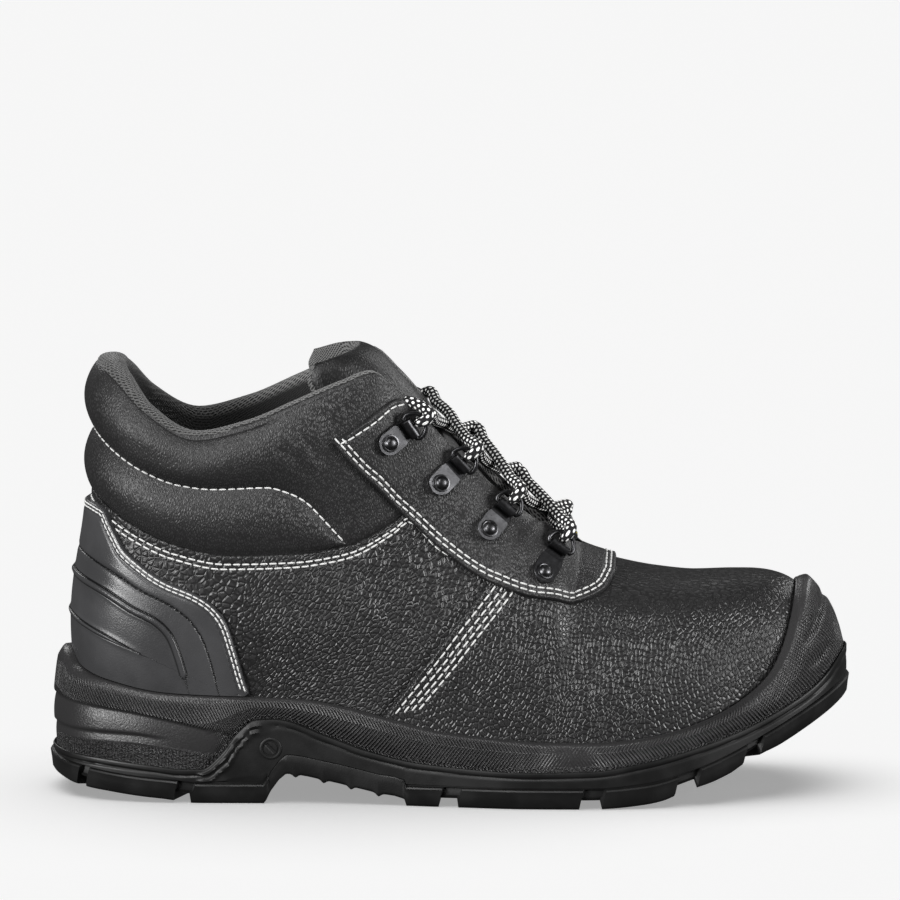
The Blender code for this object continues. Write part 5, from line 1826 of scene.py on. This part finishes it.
def lace_points(holders, radius):
    """Way of the lace from its lateral end down through the rings, over the bottom bar and up again."""
    tongue = tongue_grid()[0].reshape(-1, 3)
    out = unit(INSTEP_OUT)
    slope = np.array((out[2], 0, -out[0]))

    def run(start, end, way, shift=0.0):
        points = []
        for share in LACE_SHARES:
            arch = math.sin(math.pi * share)
            at = start + (end - start) * share - slope * shift * arch
            off = tongue - at
            near = (np.abs(off[:, 1]) < 2.5) & (np.abs(off @ slope) < 2.5)
            rest = (off[near] @ out).max() + radius + 0.1 if near.any() else -9.0
            points.append(at + out * max(LACE_BOW[way] * arch, rest + LACE_CROSS_LIFT[way] * arch ** 2))
        return points

    turns = {side: [ring_turn(holder) for holder in holders[side]] for side in SIDES}
    down = [turns[side][row] for row, side in enumerate(("lateral", "medial", "lateral", "medial"))]
    up = [turns[side][row][::-1] for row, side in enumerate(("medial", "lateral", "medial", "lateral"))][::-1]
    points = [np.array(place) for place in LACE_END]
    points += down[0]
    for number, turn in enumerate(down[1:]):
        points += run(points[-1], turn[0], "over" if number % 2 else "under") + turn
    points += run(points[-1], up[0][0], "bar", LACE_BAR_SHIFT) + up[0]
    for number, turn in enumerate(up[1:]):
        points += run(points[-1], turn[0], "under" if number % 2 else "over") + turn
    return points[:-1]


def lace_radii(path, holders, radius):
    """Radius along the lace, which the rings' eyes squeeze."""
    eyes = np.array([ring_turn(holder)[2] for side in SIDES for holder in holders[side]])
    return radius * (1 - LACE_SQUEEZE * bell(distance_to(path, eyes), LACE_SQUEEZE_REACH))


def tag_body():
    """Short folded tape at the foot of the throat, lying along the tongue."""
    length, width, thickness = TAG_SIZE
    along = np.array((math.cos(TAG_SLOPE), 0, math.sin(TAG_SLOPE)))
    up = np.array((-math.sin(TAG_SLOPE), 0, math.cos(TAG_SLOPE)))
    half = thickness / 2
    profile = [(0.0, 0.0), (length * 0.5, -TAG_SWELL)]
    for turn in np.radians(np.linspace(-90, 90, 11)):
        profile.append((length - half + half * math.cos(turn), half + half * math.sin(turn)))
    profile += [(length * 0.5, thickness + TAG_SWELL), (0.0, thickness), (0.0, 0.0)]
    x, z = np.array(profile).T
    lengths = run_lengths(np.array(profile))
    rings = []
    pattern = []
    for share in TAG_ACROSS:
        across = share * width / 2
        narrow = TAG_ROUNDING if abs(share) > 0.98 else 0.0
        ahead = x + np.where(x > length / 2, -narrow, narrow)
        above = half + (z - half) * (1 - narrow)
        ring = TAG_START + along * ahead[:, None] + up * above[:, None]
        rings.append(ring + np.array((0, across, 0)))
        pattern += [(at, across) for at in lengths]
    return ring_body(rings, np.array(pattern))


def colour_property(name, description, default):
    return bpy.props.FloatVectorProperty(
        name=name, description=description, subtype="COLOR", size=3, default=default, min=0.0, max=1.0)


def length_property(name, description, default):
    return bpy.props.FloatProperty(name=name, description=description, default=default, unit="LENGTH")


class BootColours(bpy.types.PropertyGroup):
    """Colours of the boot's materials."""

    leather: colour_property("Leather", "Pebbled leather of vamp and quarters", (0.02, 0.0197, 0.02))
    smooth_leather: colour_property(
        "Smooth leather", "Fine-grained leather of collar, eyestay and tongue", (0.0227, 0.0223, 0.0227))
    counter: colour_property("Counter", "Moulded heel counter", (0.0347, 0.0347, 0.036))
    rubber: colour_property("Rubber", "Outsole", (0.0047, 0.0047, 0.0047))
    foam: colour_property("Foam", "Midsole and toe bumper", (0.02, 0.0196, 0.02))
    knit: colour_property("Knit", "Lining mesh", (0.15, 0.149, 0.147))
    thread: colour_property("Thread", "Stitching thread and lace flecks", (0.9, 0.9, 0.885))
    cord: colour_property("Cord", "Lace between its flecks", (0.0107, 0.0107, 0.0113))
    nickel: colour_property("Nickel", "Clips, rivets and rings", (0.06, 0.06, 0.0627))
    felt: colour_property("Felt", "Insole", (0.02, 0.02, 0.0207))
    stripe: colour_property("Stripe", "Stripe on the tape tag", (0.3667, 0.3133, 0.0333))


class BootSizes(bpy.types.PropertyGroup):
    """Sizes of what is sewn and laced on the boot."""

    thread: length_property("Thread", "Diameter of the stitching thread", 0.0007)
    stitch: length_property("Stitch", "Length of one stitch", 0.003)
    pitch: length_property("Pitch", "Distance from stitch to stitch", 0.0034)
    lace: length_property("Lace", "Diameter of the lace", 0.0043)


class BootStage(bpy.types.PropertyGroup):
    """Camera, floor and light."""

    distance: length_property("Distance", "Camera's distance from its target", 4.0)
    lens: bpy.props.FloatProperty(
        name="Lens", description="Focal length in millimetres on a 36 mm sensor", default=425.0)
    elevation: bpy.props.FloatProperty(
        name="Elevation", description="Camera's angle above the horizon", default=math.radians(9.0),
        subtype="ANGLE")
    target: bpy.props.FloatVectorProperty(
        name="Target", description="Point the camera looks at", default=(0.0, 0.0, 0.1281),
        subtype="TRANSLATION")
    floor: colour_property("Floor", "Colour of the floor", (0.9, 0.9, 0.9))
    sky: bpy.props.FloatProperty(
        name="Surround", description="Strength of the even light from all round", default=0.07)
    sun: bpy.props.FloatProperty(
        name="Sun", description="Strength of the wide soft light on the floor", default=1.88)
    glow: bpy.props.FloatProperty(
        name="Glow", description="Share of the floor's own even light", default=0.33)


def to_mm(length):
    return length / MM


class BOOT_OT_sole(bpy.types.Operator):
    """Make the outsole, the midsole with its toe bumper, and the insole"""

    bl_idname = "boot.make_sole"
    bl_label = "Make Sole"

    def execute(self, context):
        colours = context.scene.boot_colours
        rubber = moulded_finish("outsole_rubber", tuple(colours.rubber), 0.42)
        foam = knurl_finish("midsole_foam", tuple(colours.foam), 0.33)
        felt = felt_finish("insole_nap", tuple(colours.felt))
        make_piece("outsole_lugged", outsole_body(), [rubber], ["outsole"], 35.0)
        make_piece("midsole_cup", midsole_body(), [foam], ["midsole"])
        insole = make_piece("insole_bed", insole_body(), [felt], ["insole"])
        return {"FINISHED"}


def make_quarters(sewing, leather):
    """Both quarters and the rows along their top."""
    face, normal, lift, from_top, pattern = quarter_grid()
    sheet = shell_body(face, normal, lift, PANEL_DEPTH + 0.05, None, pattern)
    make_piece("quarters", sheet, [leather])
    outer = raised(face, normal, lift)
    sewing.rows(outer[::-1], normal[::-1], from_top[::-1], QUARTER_ROWS, 0.4)


def make_vamp(sewing, leather):
    """The vamp and the rows along both of its rear edges, from the sole's rim up to the facing."""
    face, normal, lift, from_rear, around, pattern = vamp_grid()
    ridge = station_of(around[-1]) > THROAT_FRONT - 0.5
    sheet = shell_body(face, normal, lift, PANEL_DEPTH, ridge, pattern)
    make_piece("vamp", sheet, [leather])
    outer = raised(face, normal, lift)
    half = outer.shape[1] // 2
    for part in (slice(None, half), slice(None, half, -1)):
        edge = outer[:VAMP_SEWN_ROWS, part][:, 0]
        first = int(np.argmax(edge[:, 2] > RIM("z", edge[:, 0]) - 0.5))
        sewn = (slice(first, VAMP_SEWN_ROWS), part)
        sewing.rows(outer[sewn], normal[sewn], from_rear[sewn], VAMP_ROWS, 0.3, VAMP_GAUGE, axis=1)


def make_collar(sewing, leather):
    """The padded collar and the row in its quilted valley."""
    face, normal, lift = collar_grid()
    sheet = shell_body(face, normal, lift, BASE_DEPTH)
    collar = make_piece("collar", sheet, [leather])
    outer = raised(face, normal, lift)
    sewn = np.abs(np.linspace(-1, 1, outer.shape[1])) < VALLEY_REACH
    sewing.row(outer[VALLEY_ROW][sewn], normal[VALLEY_ROW][sewn])


def make_counter(sewing, plastic):
    """The heel counter and the rows on its flange."""
    face, normal, lift, from_border, pattern = counter_grid()
    sheet = shell_body(face, normal, lift, -COUNTER_SEAT + 0.5, None, pattern)
    make_piece("counter_cap", sheet, [plastic], ["heel_counter"])
    outer = raised(face, normal, lift)
    sewing.rows(outer[::-1], normal[::-1], from_border[::-1], COUNTER_ROWS, 0.5, COUNTER_GAUGE)


def make_eyestay(sewing, leather):
    """The facing of both sides and the rows along its lower edge and its ends."""
    facing = Body()
    for side in SIDES.values():
        grid = eyestay_grid(side)
        normal = grid["normal"]
        outer = raised(grid["face"], normal, grid["lift"])
        edge = eased(grid["rows"], 0.94, 1.0)[:, None] * np.ones((1, outer.shape[1]))
        depth = -EYESTAY_SEAT + 0.5 + (WALL - 0.3) * edge
        facing.shell(outer, raised(grid["face"], normal, -depth), open_end=True)
        sewing.rows(outer, normal, grid["low"], EYESTAY_ROWS, 0.4)
        points, normals = level_line(outer, normal, grid["end"], EYESTAY_END_ROW, axis=1)
        sewing.row(points[5:], normals[5:])
    make_piece("eyestay_facing", facing, [leather], ["eyestay"])


class BOOT_OT_upper(bpy.types.Operator):
    """Make the upper: lining, quarters, vamp, padded collar, heel counter, eyestay and their stitching"""

    bl_idname = "boot.make_upper"
    bl_label = "Make Upper"

    def execute(self, context):
        colours = context.scene.boot_colours
        knit = mesh_finish("lining_knit", tuple(colours.knit))
        pebbled = leather_finish(
            "quarter_leather", times(colours.leather, 0.9), 2.4, 0.24, 0.34, (1.7, 2.4, -0.35))
        drawn = leather_finish(
            "vamp_leather", times(colours.leather, 0.8), 1.6, 0.16, 0.34, (1.5, 2.4, 0.0), (0.45, 0.9, 1.2))
        shade = times(colours.smooth_leather, 0.95)
        fine = leather_finish("smooth_leather", shade, 1.0, 0.1, 0.43, None, (1.5, 1, 0.6), 0.7, 0.4)
        moulded = counter_finish("counter_satin", times(colours.counter, 1.05), 0.29)
        thread = thread_finish("thread", times(colours.thread, 0.7))
        sewing = Sewing(context.scene.boot_sizes)
        make_piece("upper_lining", lining_body(), [knit, fine], ["upper"])
        make_quarters(sewing, pebbled)
        make_vamp(sewing, drawn)
        make_collar(sewing, fine)
        make_counter(sewing, moulded)
        make_eyestay(sewing, fine)
        make_piece("stitching", sewing.body, [thread], sharp=60.0)
        return {"FINISHED"}


class BOOT_OT_tongue(bpy.types.Operator):
    """Make the padded tongue and the tape tag at the foot of the throat"""

    bl_idname = "boot.make_tongue"
    bl_label = "Make Tongue"

    def execute(self, context):
        colours = context.scene.boot_colours
        # Painted shade: the tongue, deep in the throat, takes the smooth leather at 0.3 of its colour.
        shade = times(colours.smooth_leather, 0.3)
        fine = leather_finish("tongue_leather", shade, 1.3, 0.1, 0.48, None, (1.4, 1, 0.7), -0.6, 0.5)
        knit = mesh_finish("tongue_knit", tuple(colours.knit))
        tongue = make_piece("tongue_pad", tongue_body(), [fine, knit], ["tongue"])
        tape = tape_finish("tag_weave", TAPE_COLOUR, tuple(colours.stripe))
        make_piece("tape_tag", tag_body(), [tape], ["lace_tag"])
        return {"FINISHED"}


class BOOT_OT_lacing(bpy.types.Operator):
    """Make the clips, rivets and D-rings of both sides, and the lace through them"""

    bl_idname = "boot.make_lacing"
    bl_label = "Make Lacing"

    def execute(self, context):
        colours = context.scene.boot_colours
        radius = to_mm(context.scene.boot_sizes.lace) / 2
        nickel = metal_finish("black_nickel_plate", tuple(colours.nickel))
        # Painted reflection: clips 2 and 3 get a copy of the nickel plate 2.4 times lighter, standing in for
        # the lamps' reflection.
        painted_reflection_plate = metal_finish("nickel_with_painted_reflection", times(colours.nickel, 2.4))
        wire = metal_finish("ring_wire", times(colours.nickel, 0.7))
        braid = lace_finish("flecked_braid", tuple(colours.cord), tuple(colours.thread))
        holders = {}
        for side, sign in SIDES.items():
            holders[side] = [lacing_frame(sign, row) for row in LACING]
            for number, holder in enumerate(holders[side], start=1):
                name = f"{side}_{number}"
                plate = painted_reflection_plate if number in PAINTED_REFLECTION_CLIPS else nickel
                clip = clip_body(holder)
                make_piece(f"clip_{name}", clip, [plate, wire], [f"lace_clip_{name}"], 30.0)
                head = rivet_body(holder)
                make_piece(f"rivet_head_{name}", head, [nickel], [f"rivet_{name}"], 30.0)
                make_piece(f"ring_{name}", d_ring_body(holder), [wire], [f"d_ring_{name}"])
        path = curve_through(lace_points(holders, radius), LACE_SPACING)
        rings = tube_rings(path, lace_radii(path, holders, radius), LACE_SIDES)
        lengths = run_lengths(path)
        turns = np.linspace(0, 1, LACE_SIDES + 1)
        pattern = np.stack(np.broadcast_arrays(turns[None, :], lengths[:, None]), axis=-1)
        crossings = [f"lace_crossing_{number}" for number in (1, 2, 3)]
        make_piece("lace", ring_body(rings, pattern), [braid], crossings)
        return {"FINISHED"}


LAMPS = (
    {"name": "left", "at": (-1.4, -1.3, 0.5), "size": 0.7, "watts": 48.0},
    {"name": "right", "at": (1.7, -0.7, 0.5), "size": 0.7, "watts": 41.0},
    {"name": "high", "at": (-0.5, -1.3, 1.6), "size": 0.45, "watts": 22.0},
    {"name": "high_back", "at": (0.2, 1.3, 1.9), "size": 0.6, "watts": 2.5},
    {"name": "heel_back", "at": (-1.0, 1.9, 1.3), "size": 0.7, "watts": 10.0},
    {"name": "toe_back", "at": (1.6, 1.7, 1.3), "size": 0.7, "watts": 16.0},
)
SUN_PLACE = (-0.15, 0.2, 2.0)
SUN_ANGLE = math.radians(74)
LAMP_AIM = (0.0, 0.0, 0.07)
FLOOR_PROFILE = ((0.0, 0.0), (1.0, 0.0), (7.0, 0.0), (8.0, 0.15), (8.7, 0.6), (9.0, 1.3), (9.0, 4.0))


def floor_mesh():
    """Wide pale floor whose far border curves up into a backdrop."""
    turns = np.linspace(0, TURN, 65)
    rings = []
    for reach, rise in FLOOR_PROFILE:
        rings.append(np.stack((reach * np.cos(turns), reach * np.sin(turns), 0 * turns + rise), axis=-1))
    mesh = bpy.data.meshes.new("floor")
    mesh.from_pydata(np.concatenate(rings).tolist(), [], grid_quads(len(rings), len(turns)).tolist())
    mesh.flip_normals()
    mesh.shade_smooth()
    return mesh


def add_lamp(scene, light, place, receivers):
    """Put a light at a place, aimed at the boot, to light only what the collection allows."""
    item = bpy.data.objects.new(light.name, light)
    item.location = place
    item.rotation_euler = look_at(place, LAMP_AIM)
    item.light_linking.receiver_collection = receivers
    scene.collection.objects.link(item)


class BOOT_OT_stage(bpy.types.Operator):
    """Set up the floor, the light and the camera"""

    bl_idname = "boot.make_stage"
    bl_label = "Make Stage"

    def execute(self, context):
        scene = context.scene
        stage = scene.boot_stage
        scene.view_settings.view_transform = "Standard"
        floor = bpy.data.objects.new("floor", floor_mesh())
        finish = Finish("floor_paper", Roughness=0.9, Specular_IOR_Level=0.0, Emission_Strength=stage.glow)
        shade = finish.noise(finish.place(), 3.0, 2.0)
        finish.feed("Base Color", finish.mix(shade, tuple(stage.floor), times(stage.floor, 0.997)))
        finish.feed("Emission Color", (1.0, 1.0, 1.0, 1.0))
        floor.data.materials.append(finish.material)
        floor.visible_diffuse = False
        floor.visible_glossy = False
        floor.visible_shadow = False
        scene.collection.objects.link(floor)

        world = bpy.data.worlds.new("surround")
        world.use_nodes = True
        surround = world.node_tree.nodes["Background"].inputs
        surround["Color"].default_value = (1.0, 1.0, 1.0, 1.0)
        surround["Strength"].default_value = stage.sky
        scene.world = world
        only_floor = bpy.data.collections.new("floor_light")
        only_floor.objects.link(floor)
        no_floor = bpy.data.collections.new("boot_light")
        no_floor.objects.link(floor)
        no_floor.collection_objects[0].light_linking.link_state = "EXCLUDE"
        for lamp in LAMPS:
            light = bpy.data.lights.new(lamp["name"], "AREA")
            light.energy = lamp["watts"]
            light.size = lamp["size"]
            add_lamp(scene, light, lamp["at"], no_floor)
        sun = bpy.data.lights.new("sun", "SUN")
        sun.energy = stage.sun
        sun.angle = SUN_ANGLE
        add_lamp(scene, sun, SUN_PLACE, only_floor)

        lens = bpy.data.cameras.new("camera")
        lens.lens = stage.lens
        lens.sensor_width = 36.0
        camera = bpy.data.objects.new("camera", lens)
        target = np.array(stage.target)
        away = np.array((0.0, -math.cos(stage.elevation), math.sin(stage.elevation)))
        camera.location = target + away * stage.distance
        camera.rotation_euler = look_at(camera.location, target)
        scene.collection.objects.link(camera)
        scene.camera = camera
        return {"FINISHED"}


def look_at(place, target):
    """Rotation of a camera or lamp at a place that points it at a target."""
    return (Vector(target) - Vector(place)).to_track_quat("-Z", "Y").to_euler()


class BOOT_PT_panel(bpy.types.Panel):
    """Sidebar panel with the boot's settings and its operators"""

    bl_label = "Safety Boot"
    bl_idname = "BOOT_PT_panel"
    bl_space_type = "VIEW_3D"
    bl_region_type = "UI"
    bl_category = "Boot"

    def draw(self, context):
        layout = self.layout
        for group in ("boot_colours", "boot_sizes", "boot_stage"):
            settings = getattr(context.scene, group)
            box = layout.box()
            for name in settings.bl_rna.properties.keys():
                if name not in ("rna_type", "name"):
                    box.prop(settings, name)
        for operator in OPERATORS:
            layout.operator(operator.bl_idname)


GROUPS = {"boot_colours": BootColours, "boot_sizes": BootSizes, "boot_stage": BootStage}
OPERATORS = (BOOT_OT_sole, BOOT_OT_upper, BOOT_OT_tongue, BOOT_OT_lacing, BOOT_OT_stage)


def register():
    for item in (*GROUPS.values(), *OPERATORS, BOOT_PT_panel):
        bpy.utils.register_class(item)
    for name, group in GROUPS.items():
        setattr(bpy.types.Scene, name, bpy.props.PointerProperty(type=group))


def unregister():
    for name in GROUPS:
        delattr(bpy.types.Scene, name)
    for item in reversed((*GROUPS.values(), *OPERATORS, BOOT_PT_panel)):
        bpy.utils.unregister_class(item)


def main():
    register()
    bpy.ops.boot.make_stage()
    bpy.ops.boot.make_lacing()
    bpy.ops.boot.make_sole()
    bpy.ops.boot.make_upper()
    bpy.ops.boot.make_tongue()


if __name__ == "__main__":
    main()
